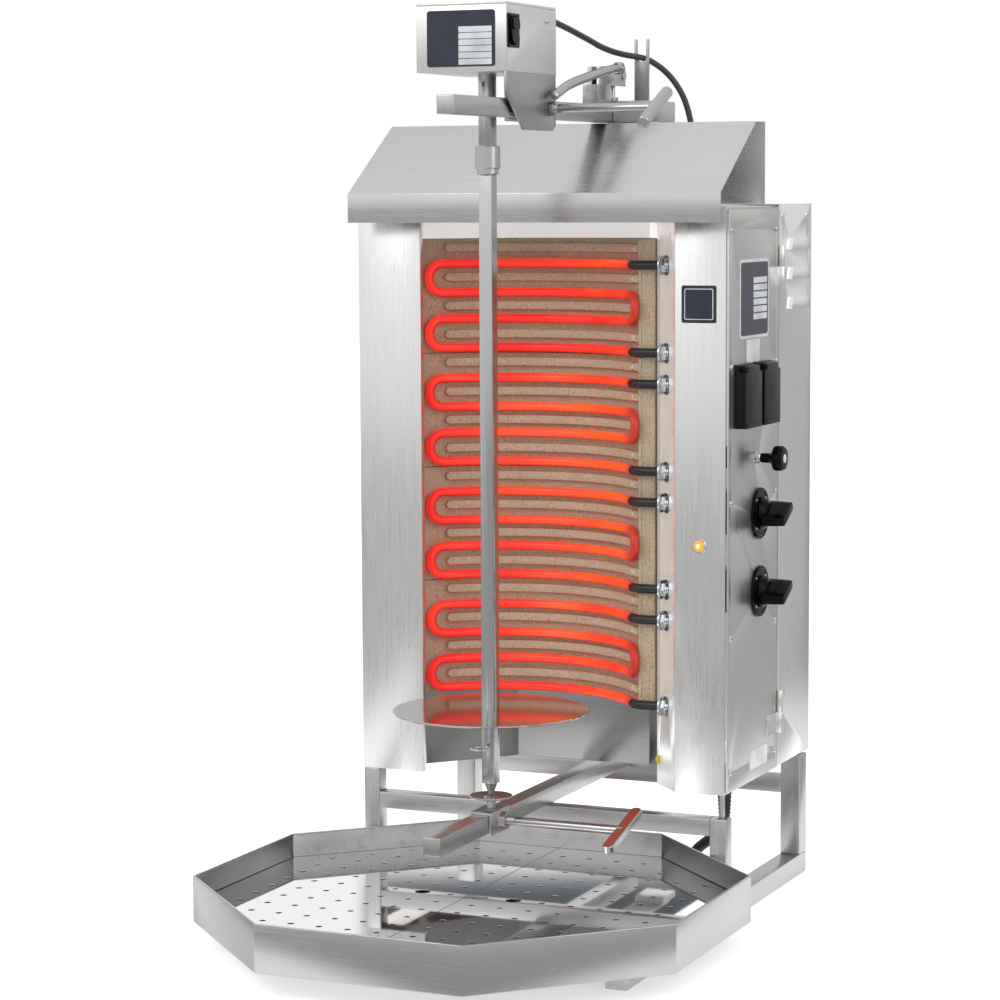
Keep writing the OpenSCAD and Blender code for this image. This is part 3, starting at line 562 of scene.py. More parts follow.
def lathe(bm, profile, place, axis="Z", steps=32):
    """Turns (radius, height) points about an axis through a place, in millimetres.

    The axis is a name in AXES or a matrix that turns Z onto it.
    """
    centre = at(*place)
    turn = AXES[axis] if isinstance(axis, str) else axis
    rings = []
    for radius, height in profile:
        around = circle(steps) if radius else [(0, 0)]
        rings.append([centre + turn @ Vector((radius * c, radius * s, height)) * MM for c, s in around])
    loft(bm, rings)


def turned(name, body, material, profile, place, axis="Z", steps=32, smooth=35):
    """A piece that is one turned shape."""
    bm = bmesh.new()
    lathe(bm, profile, place, axis, steps)
    return from_bmesh(name, bm, body, material, smooth=smooth)


def smooth_path(points, per_leg=6):
    """Points along a Catmull-Rom curve through the given ones."""
    ends = [points[0] * 2 - points[1]] + list(points) + [points[-1] * 2 - points[-2]]
    made = []
    for a, b, c, d in zip(ends, ends[1:], ends[2:], ends[3:]):
        for i in range(per_leg):
            t = i / per_leg
            made.append(0.5 * (2 * b + (c - a) * t + (2 * a - 5 * b + 4 * c - d) * t * t
                               + (3 * b - a - 3 * c + d) * t ** 3))
    made.append(points[-1])
    return made


def tube(bm, path, radius, sides, marks=None, taper=None):
    """A round tube along a path in metres; marks gives each ring's material index."""
    last = len(path) - 1
    across = (path[1] - path[0]).normalized().orthogonal().normalized()
    rings = []
    for i, point in enumerate(path):
        way = (path[min(i + 1, last)] - path[max(i - 1, 0)]).normalized()
        across = (across - way * across.dot(way)).normalized()
        side = way.cross(across)
        r = radius * MM * (taper[i] if taper else 1)
        rings.append([point + (across * c + side * s) * r for c, s in circle(sides)])
    loft(bm, rings, marks)


# ---------------------------------------------------------------- cords

CORD_ROUTE = [
    (20, -73, 1022), (21, -62, 1023), (24, -44, 1024), (27, -26, 1023), (31, -6, 1019),
    (35, 16, 1014), (38, 38, 1009), (41, 60, 1004), (43, 76, 1000), (45, 92, 997),
    (49, 107, 994), (57, 121, 991), (66, 132, 989), (73, 140, 987.5), (80, 149, 984),
    (89, 157, 977), (98, 162, 968), (107, 165, 956), (115, 166, 942), (121, 166, 926),
    (125, 166, 908), (127, 166, 888), (128, 166, 868), (128, 166, 848), (128, 166, 830),
]
LEAD_ROUTE = [
    (206, 60, 112), (204, 60.5, 102), (197, 62, 91), (184, 66, 80), (170, 73, 69),
    (158, 84, 57), (147, 98, 44), (135, 112, 32), (121, 124, 21), (104, 132, 13),
    (85, 132, 8), (64, 127, 6.4), (42, 122, 6.4), (20, 119, 6.4), (0, 118, 6.4),
]
PLUG = (-62, 118, 22.2)
CORD_D = 7
LEAD_D = 12.5
COIL_CENTRE = (-20, 192)
COIL_OUT, COIL_IN = 74.2, 61.7
COIL_LOW, COIL_HIGH = 6.5, 19.0


def ease(value, start, end):
    t = min(max((value - start) / (end - start), 0), 1)
    return t * t * (3 - 2 * t)


def coil_point(turned):
    """A point of the coil after that many degrees, clockwise from its front."""
    lap, angle = divmod(turned, 360)
    radius, height = COIL_OUT, COIL_LOW
    if lap == 0:
        radius += (COIL_IN - COIL_OUT) * ease(angle, 262, 312)
    elif lap == 1:
        radius = COIL_IN
        height += (COIL_HIGH - COIL_LOW) * ease(angle, 205, 300)
    else:
        radius = COIL_IN + (COIL_OUT - COIL_IN) * ease(angle, 0, 60)
        height = COIL_HIGH
    a = math.radians(-90 - angle)
    return (COIL_CENTRE[0] + radius * math.cos(a), COIL_CENTRE[1] + radius * math.sin(a), height)


def make_motor_cord():
    path = smooth_path([at(*p) for p in CORD_ROUTE], 5)
    bm = bmesh.new()
    tube(bm, path, CORD_D / 2, 14)
    piece = from_bmesh("motor_cord", bm, "root", "cord")
    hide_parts("motor_cord_front", "motor_cord_rear")
    world = piece.matrix_world.copy()
    piece.parent = None
    piece.matrix_world = world
    del piece["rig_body"]
    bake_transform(piece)
    gland = turned("motor_cord_gland", "root", "black",
                   [(0, 0), (8, 0), (8, 5), (6.4, 7), (5.6, 13), (4.3, 15.5), (0, 15.5)],
                   (128, 166, 814.6))
    relief = turned("motor_cord_relief", "motor_carriage", "black",
                    [(0, 0), (7.5, 0), (7.2, 2.5), (5.2, 4), (4.2, 12), (3.6, 20), (0, 20)],
                    CORD_ROUTE[0], "Y", 20)


def make_mains_lead():
    tail = [(-34, 117.8, 19.4), (-48, 117.9, 20.6), (-62, 118, 21.8)]
    route = [at(*p) for p in LEAD_ROUTE]
    route += [at(*coil_point(d)) for d in range(0, 3 * 360 + 1, 12)]
    route += [at(*p) for p in tail]
    curve = bpy.data.curves.new("mains_lead", "CURVE")
    curve.dimensions = "3D"
    curve.bevel_depth = LEAD_D / 2 * MM
    curve.bevel_resolution = 5
    curve.use_fill_caps = True
    line = curve.splines.new("POLY")
    points = smooth_path(route, 3)
    line.points.add(len(points) - 1)
    for spot, point in zip(line.points, points):
        spot.co = (*point, 1)
    lead = bpy.data.objects.new("mains_lead_flex", curve)
    bpy.context.scene.collection.objects.link(lead)
    curve.materials.append(M["lead"])
    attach(lead, "root")
    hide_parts("mains_lead", "mains_coil")
    make_plug()
    make_gland()
    make_tie()


def make_gland():
    """The lead's strain relief: a flange, and a ribbed sleeve that tapers towards the lead."""
    profile = [(0, 36.5), (11, 36.5), (11, 31), (9.6, 29.4), (8.6, 29)]
    for k in range(6):
        r = 8.4 - 1.4 * k / 5
        z = 26.5 - 4.6 * k
        profile += [(r, z + 1.4), (r, z - 0.8), (r - 0.9, z - 1.4), (r - 0.9, z - 2.8)]
    profile += [(6.5, 0), (0, 0)]
    piece = turned("mains_gland_sleeve", "root", "lead", profile, LEAD_ROUTE[0])
    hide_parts("mains_gland")
    return piece


def make_tie():
    """A strap that holds the coil's turns together, at the back of the coil."""
    angle = math.radians(75)
    out = Vector((math.cos(angle), math.sin(angle), 0))
    beside = Vector((-out.y, out.x, 0))
    middle = (COIL_OUT + COIL_IN) / 2
    centre = at(COIL_CENTRE[0] + middle * out.x, COIL_CENTRE[1] + middle * out.y, 12.7)
    reach, rise, thick, half = 13.4, 12.4, 0.6, 6
    rings = []
    for side, inset in ((-half, thick), (-half, 0), (half, 0), (half, thick)):
        rings.append([centre + (out * u * (reach - inset) + beside * side
                                + Vector((0, 0, w * (rise - inset)))) * MM for u, w in cushion(4, 32)])
    bm = bmesh.new()
    loft(bm, rings, closed=True)
    piece = from_bmesh("coil_strap", bm, "root", "grey")
    return piece


def make_plug():
    """A round industrial plug: ribbed grip, collar, and five pins inside its shroud."""
    x, y, z = PLUG
    bm = bmesh.new()
    lathe(bm, [(0, 0), (7.4, 0), (8.6, 8), (9.6, 20), (12.5, 30), (16.8, 44), (17, 50), (18, 52),
               (18, 70), (21.4, 73), (21.8, 76), (21.8, 84), (20.6, 86), (20.6, 110.5), (19.4, 112),
               (17.6, 112), (17.2, 110), (17.2, 92), (0, 92)], PLUG, "-X", 40)
    for c, s in circle(20):
        rib_y, rib_z = y + 18.3 * c, z + 18.3 * s
        box_part(bm, (x - 69, rib_y - 0.9, rib_z - 0.9), (x - 53, rib_y + 0.9, rib_z + 0.9))
    piece = from_bmesh("mains_plug_body", bm, "root", "red")
    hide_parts("mains_plug")
    pins = bmesh.new()
    for c, s in circle(5, 90):
        lathe(pins, [(0, 90), (2.4, 90), (2.4, 107), (1.6, 109), (0, 109)],
              (x, y + 10.5 * c, z + 10.5 * s), "-X", 16)
    contacts = from_bmesh("mains_plug_pins", pins, "root", "zinc")
    contacts.parent = piece
    return piece


# ---------------------------------------------------------------- heater

ARC = (-29, -60)
ARC_R = 160
BRICK_R = ARC_R + 9
BRICK_TOP = 778
BRICK_H = 135.5
BRICKS = 4
ROWS = (29.7, 64.1, 95, 129.3)
RIDGES = (11, 45.8, 79.6, 113.2)
ROW_RIGHT, ROW_LEFT, TURN_RIGHT = 34.7, 136.3, 35.5
BEND_R = 22
TERMINAL_X = 152
TUBE_R = 5


def on_arc(angle, z, radius=ARC_R):
    a = math.radians(angle)
    return (ARC[0] + radius * math.cos(a), ARC[1] + radius * math.sin(a), z)


def row(a0, a1, z, steps=30):
    return [on_arc(a0 + (a1 - a0) * i / steps, z) for i in range(steps + 1)]


def half_turn(angle, z0, z1, side, steps=12):
    """The U between two rows at one angle; side is 1 on the left and -1 on the right."""
    r = (z0 - z1) / 2
    a = math.radians(angle)
    x, y, z = on_arc(angle, z0 - r)
    made = []
    for i in range(1, steps):
        t = math.pi * i / steps
        out = side * r * math.sin(t)
        made.append((x - out * math.sin(a), y + out * math.cos(a), z + r * math.cos(t)))
    return made


def cold_end(z):
    """From inside the cabinet out through its slanted fold and round a bend, to the arc."""
    x, y, _ = on_arc(ROW_RIGHT, z, ARC_R + BEND_R)
    ends = [(px, y - BEND_R, z) for px in (TERMINAL_X + 20, TERMINAL_X, TERMINAL_X - 9,
                                           TERMINAL_X - 20, x)]
    turns = [math.radians(b) for b in range(262, 214, -8)]
    return ends + [(x + BEND_R * math.cos(b), y + BEND_R * math.sin(b), z) for b in turns]


def make_element(number):
    top = BRICK_TOP - number * BRICK_H
    z = [top - drop for drop in ROWS]
    first, last = cold_end(z[0]), cold_end(z[3])[::-1]
    hot = (row(ROW_RIGHT, ROW_LEFT, z[0]) + half_turn(ROW_LEFT, z[0], z[1], 1)
           + row(ROW_LEFT, TURN_RIGHT, z[1]) + half_turn(TURN_RIGHT, z[1], z[2], -1)
           + row(TURN_RIGHT, ROW_LEFT, z[2]) + half_turn(ROW_LEFT, z[2], z[3], 1)
           + row(ROW_LEFT, ROW_RIGHT, z[3]))
    path = [at(*p) for p in first + hot + last]
    # the red-hot rows take material 0 and the cold ends material 1
    marks = [1] * len(first) + [0] * len(hot) + [1] * len(last)
    bm = bmesh.new()
    tube(bm, path, TUBE_R + 0.3, 20, marks=marks)
    piece = from_bmesh(f"heating_element_{number + 1}", bm, "root", "hot", "cold", smooth=60)
    return piece


def ridge(bm, z):
    """A ceramic ridge with round ends that follows the arc."""
    half, foot, proud = 5.0, BRICK_R + 1.5, 7.0
    top = BRICK_R - proud
    a0, a1 = ROW_RIGHT + 2.2, ROW_LEFT - 1.6
    length = math.radians(a1 - a0) * BRICK_R
    cap = [half * (1 - math.cos(math.pi / 2 * k / 7)) for k in range(8)]
    middle = [half + (length - 2 * half) * k / 44 for k in range(1, 44)]
    rings = []
    for place in cap + middle + [length - c for c in cap[::-1]]:
        near = min(place, length - place)
        h = half if near >= half else math.sqrt(max(half * half - (half - near) ** 2, 0.02))
        angle = a0 + (a1 - a0) * place / length
        soft = min(1.6, h * 0.8)
        side = [(foot, h), (top + soft, h), (top + soft * 0.3, h - soft * 0.3), (top, h - soft)]
        section = [(r, -dz) for r, dz in side] + side[::-1]
        rings.append([at(*on_arc(angle, z + dz, r)) for r, dz in section])
    loft(bm, rings)


def painted_highlight_stub(bm, z):
    """The short plug that closes a ridge's right end, coloured pale as a painted highlight on the lit end."""
    a0, a1 = ROW_RIGHT - 0.2, ROW_RIGHT + 3.4
    rings = [[at(*on_arc(a0 + (a1 - a0) * i / 4, z + 4.4 * c, BRICK_R - 3.2 + 4.4 * s))
              for c, s in circle(14)] for i in range(5)]
    # Material 1 is the pale ceramic, a painted highlight on the ridge's end.
    loft(bm, rings, marks=[1] * 5)


def make_brick(number):
    top = BRICK_TOP - number * BRICK_H
    low, high = top - BRICK_H + 0.35, top - 0.35
    outline = [(-176, 38), (-89, 139), (83, 139), (128, 88), (128, 34.5), (112, 34.5), (112, 27)]
    right = math.degrees(math.asin((27 + 60) / BRICK_R))
    left = 180 - math.degrees(math.asin((30 + 60) / BRICK_R))
    steps = 48
    face = [on_arc(right + (left - right) * i / steps, 0, BRICK_R)[:2] for i in range(steps + 1)]
    loop = outline + face + [(-176, 30)]
    bm = bmesh.new()
    loft(bm, [[at(x, y, z) for x, y in loop] for z in (low, high)])
    piece = from_bmesh(f"ceramic_brick_{number + 1}", bm, "root", "brick", "pale")
    bevel(piece, 0.9, 2, 40)
    bm = bmesh.new()
    bm.from_mesh(piece.data)
    for drop in RIDGES:
        ridge(bm, top - drop)
        painted_highlight_stub(bm, top - drop)
    bmesh.ops.recalc_face_normals(bm, faces=bm.faces[:])
    bm.to_mesh(piece.data)
    bm.free()
    shade(piece.data, 35)
    return piece


def make_side_board():
    bm = bmesh.new()
    box_part(bm, (112.6, 28, BRICK_TOP - BRICKS * BRICK_H), (130.4, 33.6, BRICK_TOP))
    piece = from_bmesh("ceramic_side_board", bm, "root", "brick")
    bevel(piece, 0.8)


def hexagon(bm, y, z, flats, low, high):
    """A chamfered hexagonal nut along X."""
    r = flats / math.sqrt(3)
    loft(bm, [[at(x, y + r * k * c, z + r * k * s) for c, s in circle(6)]
              for x, k in ((low, 0.93), (low + 1, 1), (high - 1, 1), (high, 0.93))])


def make_terminals():
    """On each cold end: a large washer, a flange nut and the thread's end outside it."""
    y = on_arc(ROW_RIGHT, 0, ARC_R + BEND_R)[1] - BEND_R
    x = TERMINAL_X - 11
    bm = bmesh.new()
    for number in range(BRICKS):
        for drop in (ROWS[0], ROWS[3]):
            z = BRICK_TOP - number * BRICK_H - drop
            lathe(bm, [(0, 0), (11, 0), (11.5, 0.4), (11.5, 1.6), (11, 2), (8, 2.1), (0, 2.1)],
                  (x, y, z), "X", 36)
            hexagon(bm, y, z, 15, x + 2.2, x + 7.6)
            lathe(bm, [(0, 7), (6.2, 7), (6.2, 9), (5.7, 9.4), (6.2, 9.8), (5.7, 10.2), (5.7, 11),
                       (0, 11)], (x, y, z), "X", 24)
    piece = from_bmesh("terminal_fasteners", bm, "root", "zinc")
    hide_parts("terminal_nuts")


def make_heater():
    elements = [make_element(n) for n in range(BRICKS)]
    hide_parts("heating_elements")
    bricks = [make_brick(n) for n in range(BRICKS)]
    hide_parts("ceramic_bricks")
    make_side_board()
    make_terminals()


# ---------------------------------------------------------------- small hardware

def pan_screw(bm, place, axis, radius=3.4, height=2.2):
    """A pan head with a round recess."""
    profile = [(0, 0), (radius, 0), (radius, height * 0.35)]
    for k in range(1, 6):
        a = math.pi / 2 * k / 6
        profile.append((radius * math.cos(a), height * (0.35 + 0.65 * math.sin(a))))
    profile += [(radius * 0.22, height), (radius * 0.18, height * 0.35), (0, height * 0.3)]
    lathe(bm, profile, place, axis, 20)


def make_panel_screws():
    bm = bmesh.new()
    for z in (172.4, 327.5, 481, 634.5, 787.5):
        for y in (10, 168):
            pan_screw(bm, (HALF_W, y, z), "X")
    piece = from_bmesh("panel_screw_heads", bm, "root", "zinc")
    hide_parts("panel_screws")
    cover = bmesh.new()
    for y in (190, 281):
        pan_screw(cover, (HALF_W, y, 803), "X", 3, 1.9)
    from_bmesh("cover_screw_heads", cover, "cover", "zinc")


# ---------------------------------------------------------------- controls

KNOB_Y = 110
KNOB_LEVELS = (460.5, 369.5)
PULL_AT = (HALF_W, 97, 526)
LAMP_AT = (196, 0, 432.6)
FORWARD = (1, -1)
SIDEWAYS = (0, 1)


def make_bezels():
    """Round plates with a raised rim and four rivets, and the pull knob's chromed collar."""
    bm = bmesh.new()
    rivets = bmesh.new()
    for z in KNOB_LEVELS:
        lathe(bm, [(0, 0), (30, 0), (30, 1.6), (29.2, 2.8), (26.5, 3), (25.8, 2.4), (20, 2.4), (19.4, 3),
                   (0, 3)], (HALF_W, KNOB_Y, z), "X", 64)
        for c, s in circle(4, 45):
            lathe(rivets, [(0, 2.2), (1.7, 2.2), (1.5, 3.1), (0.8, 3.4), (0, 3.45)],
                  (HALF_W, KNOB_Y + 23.2 * c, z + 23.2 * s), "X", 14)
    piece = from_bmesh("switch_plates", bm, "root", "black")
    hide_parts("control_bezels")
    from_bmesh("switch_plate_rivets", rivets, "root", "zinc")
    collar = turned("pull_knob_collar", "root", "zinc",
                    [(0, 0), (7, 0), (7, 1.5), (6.2, 2), (6.2, 5.8), (5.6, 6.5), (0, 6.5)], PULL_AT, "X")


def make_knob(name, body, z):
    """A rotary knob: a low round skirt and a tall tapered grip across it, with a pale mark."""
    tilt = Matrix.Rotation(math.radians(-62), 3, "X")
    base = Vector((HALF_W + 3.3, KNOB_Y, z))

    def spot(x, y, up):
        return at(*(base + tilt @ Vector((x, y, up))))

    bm = bmesh.new()
    lathe(bm, [(0, 0), (19, 0), (19, 2), (18, 3.4), (15.5, 7.5), (12, 9.6), (0, 9.8)], base, "X", 48)
    grip = ((1, 6.9, 18.6), (4, 6.9, 19.4), (20, 6.4, 19.6), (32, 5.6, 19.2))
    loft(bm, [[spot(x, y * half_y, up * half_up) for y, up in cushion(7, 28)]
              for x, half_y, half_up in grip])
    piece = from_bmesh(f"{name}_grip", bm, body, "black")
    bevel(piece, 1.1, 3, 40)
    shade(piece.data, 30)
    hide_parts(name)
    line = bmesh.new()
    loft(line, [[spot(x, y, up) for y, up in ((-0.6, 18.4), (0.6, 18.4), (0.6, 19.3), (-0.6, 19.3))]
                for x in (20, 33)])
    from_bmesh(f"{name}_mark", line, body, "white")


def make_pull_knob():
    profile = [(0, -7), (4, -7), (4, 7), (5.6, 7.4), (5.6, 17), (6.4, 18), (7.2, 19.5), (12, 22),
               (14, 23.2), (14.6, 25.5), (14.6, 31), (14.0, 33.2), (12.6, 34.6), (6, 35),
               (5.6, 34.4), (0, 34.3)]
    piece = turned("pull_knob_grip", "puller", "black", profile, PULL_AT, "X", 48)
    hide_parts("pull_knob")
    cap = turned("pull_knob_cap", "puller", "paper",
                 [(0, 34.2), (5.2, 34.2), (5.0, 35.2), (3.5, 35.6), (0, 35.7)], PULL_AT, "X", 28)


def make_sockets():
    """Flush sockets with sprung lids: a rounded frame, and a lid with its finger lip."""
    refined("socket_housings", "grey", 1.2, 3)
    for name in ("socket_lid_front", "socket_lid_rear"):
        piece = refined(name, "grey", 1.6, 3)
        low, high = span(name)
        bm = bmesh.new()
        box_part(bm, (high.x - 0.2, low.y + 5, low.z + 3.2), (high.x + 1.2, high.y - 5, low.z + 5.4))
        lip = from_bmesh(f"{name}_lip", bm, piece["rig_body"], "grey")
        bevel(lip, 0.5)


def make_lamp():
    ring = turned("lamp_bezel", "root", "zinc", [(0, 0), (8.6, 0), (8.6, 0.9), (8, 1.5), (6.6, 1.5),
                                                 (6.6, 0.8), (0, 0.8)], LAMP_AT, "-Y", 40)
    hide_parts("indicator_lamp")
    turns = [math.radians(a) for a in range(0, 90, 15)]
    dome = [(6.3 * math.cos(a), 1.4 + 3.0 * math.sin(a)) for a in turns]
    lens = turned("lamp_lens", "root", "lamp", [(0, 0.8), (6.3, 0.8)] + dome + [(0, 4.4)],
                  LAMP_AT, "-Y", 40)
    core = turned("lamp_core", "root", "core", [(0, 3.9), (2.6, 3.9), (2.2, 4.6), (0, 4.75)],
                  LAMP_AT, "-Y", 24)


def plate(name, body, low, high, out, material, corner=3, edge=0.25):
    """A thin plate with round corners; out is the axis that it faces, as (index, sign)."""
    index, sign = out
    flat = [i for i in range(3) if i != index]
    u0, u1, w0, w1 = low[flat[0]], high[flat[0]], low[flat[1]], high[flat[1]]
    near, far = (low[index], high[index]) if sign > 0 else (high[index], low[index])
    centres = ((u1 - corner, w1 - corner, 0), (u0 + corner, w1 - corner, 90),
               (u0 + corner, w0 + corner, 180), (u1 - corner, w0 + corner, 270))
    rings = []
    for depth, inset in ((near, 0), (far - sign * edge, 0), (far, edge)):
        ring = []
        for cu, cw, start in centres:
            for a in (math.radians(start + 18 * k) for k in range(6)):
                spot = [depth] * 3
                spot[flat[0]] = cu + (corner - inset) * math.cos(a)
                spot[flat[1]] = cw + (corner - inset) * math.sin(a)
                ring.append(at(*spot))
        rings.append(ring)
    bm = bmesh.new()
    loft(bm, rings)
    piece = from_bmesh(name, bm, body, material, smooth=30)
    return piece


def make_labels():
    """Blank plates: dark film with pale empty fields, and plain stickers."""
    badge = plate("badge_plate", "root", (174.5, -1, 684.5), (216, 0, 726.5), FORWARD, "label", 2)
    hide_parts("label_plates")
    plate("badge_frame", "root", (178, -1.15, 688), (212.5, -0.9, 723), FORWARD, "paper", 2, 0.1)
    plate("badge_field", "root", (179, -1.3, 689), (211.5, -1.1, 722), FORWARD, "label", 1.6, 0.1)
    x = HALF_W
    plate("rating_backing", "root", (x, 38, 664.5), (x + 0.5, 139, 754.5), SIDEWAYS, "paper", 5)
    plate("rating_film", "root", (x + 0.5, 41.5, 668), (x + 0.8, 135.5, 751), SIDEWAYS, "label", 4, 0.1)
    for k in range(6):
        z = 685.5 + 8.3 * k
        plate(f"rating_field_{k + 1}", "root", (x + 0.8, 84, z), (x + 1.0, 131, z + 6.7), SIDEWAYS,
              "paper", 0.8, 0.1)
    plate("round_sticker", "root", (x, 62, 637), (x + 0.3, 109, 663), SIDEWAYS, "paper", 3, 0.1)
    plate("foot_sticker", "root", (x, 79, 163), (x + 0.3, 141, 185), SIDEWAYS, "paper", 2, 0.1)
    earth = turned("earth_sticker", "root", "yellow", [(0, 0), (5, 0), (5, 0.3), (0, 0.3)],
                   (136.6, 31, 178), "-Y", 24)
    y = span("motor_label")[0].y
    film = plate("motor_label_film", "motor_carriage", (-40, y, 965.5), (40, y + 1, 1025.5),
                 FORWARD, "label", 3)
    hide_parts("motor_label")
    for k in range(6):
        z = 967.5 + 6.9 * k
        plate(f"motor_label_field_{k + 1}", "motor_carriage", (-2.5, y - 0.2, z), (36.5, y, z + 6.2),
              FORWARD, "paper", 0.6, 0.1)


# ---------------------------------------------------------------- tray

TRAY_Y = -197
TRAY_HALF = 286
SPLIT_X = -13
DRAIN_Y = 18.8
DRAIN_DX, DRAIN_DY = 34.2, 37.6


def octagon(half, z):
    """The corners of the tray's octagon at a height."""
    r = half / math.cos(math.radians(22.5))
    return [at(r * c, TRAY_Y + r * s, z) for c, s in circle(8, 22.5)]


def make_insert(side, body, node):
    """Half of the polished floor, with its rows of drain holes and its finger hole cut through."""
    low, high = span(node)
    curve = bpy.data.curves.new(node + "_sheet", "CURVE")
    curve.dimensions = "2D"
    curve.fill_mode = "BOTH"
    curve.extrude = 0.7 * MM
    curve.bevel_depth = 0.15 * MM
    curve.bevel_resolution = 1

    def outline(points):
        line = curve.splines.new("POLY")
        line.points.add(len(points) - 1)
        for spot, (x, y) in zip(line.points, points):
            spot.co = (x * MM, y * MM, 0, 1)
        line.use_cyclic_u = True

    def hole(x, y, radius, steps=20):
        outline([(x + radius * c, y + radius * s) for c, s in circle(steps)])

    half = TRAY_HALF - 3.2
    corner = half * math.tan(math.radians(22.5))
    edge = SPLIT_X + side * 0.7
    outline([(edge, -half), (side * corner, -half), (side * half, -corner), (side * half, corner),
             (side * corner, half), (edge, half)])
    finger = (SPLIT_X + side * 55.6, DRAIN_Y)
    room = half - 11
    for i in range(8):
        for j in range(-8, 8):
            x, y = SPLIT_X + side * (21.4 + DRAIN_DX * i), DRAIN_Y + DRAIN_DY * j
            inside = abs(x) < room and abs(y) < room and abs(x) + abs(y) < room * 1.4142
            if inside and math.hypot(x - finger[0], y - finger[1]) > 5:
                hole(x, y, 3.8)
    hole(*finger, 8.8, 32)
    sheet = bpy.data.objects.new(node + "_sheet", curve)
    sheet.location = at(0, TRAY_Y, high.z - 0.85)
    bpy.context.scene.collection.objects.link(sheet)
    mesh = baked(sheet)
    mesh.transform(sheet.matrix_world)
    bpy.data.objects.remove(sheet)
    mesh.materials.clear()
    piece = link(node + "_plate", mesh, body, "mirror", smooth=30)
    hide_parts(node)
    feet = bmesh.new()
    for y in (TRAY_Y - 200, TRAY_Y + 160):
        box_part(feet, (side * 60 - 8, y, low.z), (side * 60 + 8, y + 1.5, high.z - 1.6))
    from_bmesh(node + "_feet", feet, body, "tray")


def make_tray():
    """Eight folded walls on a flat floor, with a hem along the top; the walls that face left take
    a darker copy of the same steel as painted shade."""
    low, high = span("drip_tray")
    wall, hem = 1.5, 1.1
    levels = [(TRAY_HALF - 1.2, low.z), (TRAY_HALF, low.z + 1.2), (TRAY_HALF, high.z - 0.4),
              (TRAY_HALF - 0.4, high.z), (TRAY_HALF - wall - hem, high.z),
              (TRAY_HALF - wall - hem, high.z - 1.2), (TRAY_HALF - wall, high.z - 1.6),
              (TRAY_HALF - wall, low.z + wall)]
    bm = bmesh.new()
    loft(bm, [octagon(half, z) for half, z in levels])
    piece = from_bmesh("drip_tray_pan", bm, "tray", "tray", "tray_left", smooth=30)
    bevel(piece, 0.5, 2, 30)
    shade(piece.data, 30)
    for face in piece.data.polygons:
        # Walls that face left take the darker copy of the steel as painted shade.
        face.material_index = 1 if face.normal.x < -0.6 else 0
    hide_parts("drip_tray")
    make_insert(-1, "insert_left", "tray_insert_left")
    make_insert(1, "insert_right", "tray_insert_right")


# ---------------------------------------------------------------- drive and skewer

SKEWER_Y = -142
LATCH_PIVOT = (59.5, 100, 974)


def make_rocker():
    """The rocker switch's cap and rim, and the screw in the motor box's right side."""
    bm = bmesh.new()
    tilt = Matrix.Rotation(math.radians(-5), 3, "Y")
    base = Vector((54, -192.5, 1003.5))
    for low, high in (((-3.5, -10, -14), (2.2, 10, 14)), ((-3, -9, 1), (4.4, 9, 13))):
        low, high = Vector(low), Vector(high)
        centre, half = (low + high) / 2, (high - low) / 2
        loft(bm, [[at(*(base + tilt @ Vector((x, centre.y + y * k * half.y, centre.z + z * k * half.z))))
                   for y, z in cushion(8, 28)]
                  for x, k in ((low.x, 1), (high.x - 0.8, 1), (high.x, 0.93))])
    piece = from_bmesh("rocker_cap", bm, "rocker", "black", smooth=30)
    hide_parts("rocker_switch")
    rim_bars = bmesh.new()
    for y0, z0, y1, z1 in ((-207, 1018.5, -178, 1021.5), (-207, 985.5, -178, 988.5),
                           (-207, 988.5, -204, 1018.5), (-181, 988.5, -178, 1018.5)):
        box_part(rim_bars, (53, y0, z0), (54.4, y1, z1))
    rim = from_bmesh("rocker_rim", rim_bars, "motor_carriage", "black")
    bevel(rim, 0.4)
    screws = bmesh.new()
    pan_screw(screws, (53, -98.5, 1018), "X", 3.2, 2)
    from_bmesh("motor_box_screw", screws, "motor_carriage", "zinc")


def threaded_bar(bm, tip, head, turns, plain):
    """A bar along X from its tip to its head, threaded up to where it is plain."""
    reach = head[0] - tip
    profile = [(0, 0), (4.2, 0)]
    for k in range(turns):
        profile += [(5.2, 1 + 1.6 * k), (4.6, 1.8 + 1.6 * k)]
    profile += [(5.2, plain), (5.2, reach), (0, reach)]
    lathe(bm, profile, (tip, *head[1:]), "X", 28)


def make_upper_screw():
    """The motor clamp's screw, with a round bar across its head."""
    head = (176, -88, 923)
    bm = bmesh.new()
    threaded_bar(bm, 47.3, head, 9, 16)
    half, soft = 42, 2.2
    turns = [math.radians(18 * k) for k in range(6)]
    ends = [(6.8 - soft * (1 - math.cos(a)), soft * math.sin(a)) for a in turns]
    bar = [(0, -half), *[(r, -half + soft - d) for r, d in ends[::-1]],
           *[(r, half - soft + d) for r, d in ends], (0, half)]
    lathe(bm, bar, head, Matrix.Rotation(math.radians(25 - 90), 3, "X"), 28)
    piece = from_bmesh("upper_clamp_handle", bm, "upper_screw", "bar", smooth=50)
    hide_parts("upper_clamp_screw")


def make_lower_screw():
    """The lower arm's clamp screw, with a flat oblong bar across its head."""
    head = (158, SKEWER_Y, 131)
    bm = bmesh.new()
    threaded_bar(bm, 10.3, head, 12, 21)
    tilt = Matrix.Rotation(math.radians(15), 3, "X")
    rings = []
    for level, inset in ((-4, 0.8), (-3.2, 0), (3.2, 0), (4, 0.8)):
        r = 6.5 - inset
        rings.append([at(*(Vector(head) + tilt @ Vector((r * c, r * s + (43.5 if s >= 0 else -43.5), level))))
                      for c, s in circle(40)])
    loft(bm, rings)
    piece = from_bmesh("lower_clamp_handle", bm, "lower_screw", "bar", smooth=40)
    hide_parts("lower_clamp_screw")


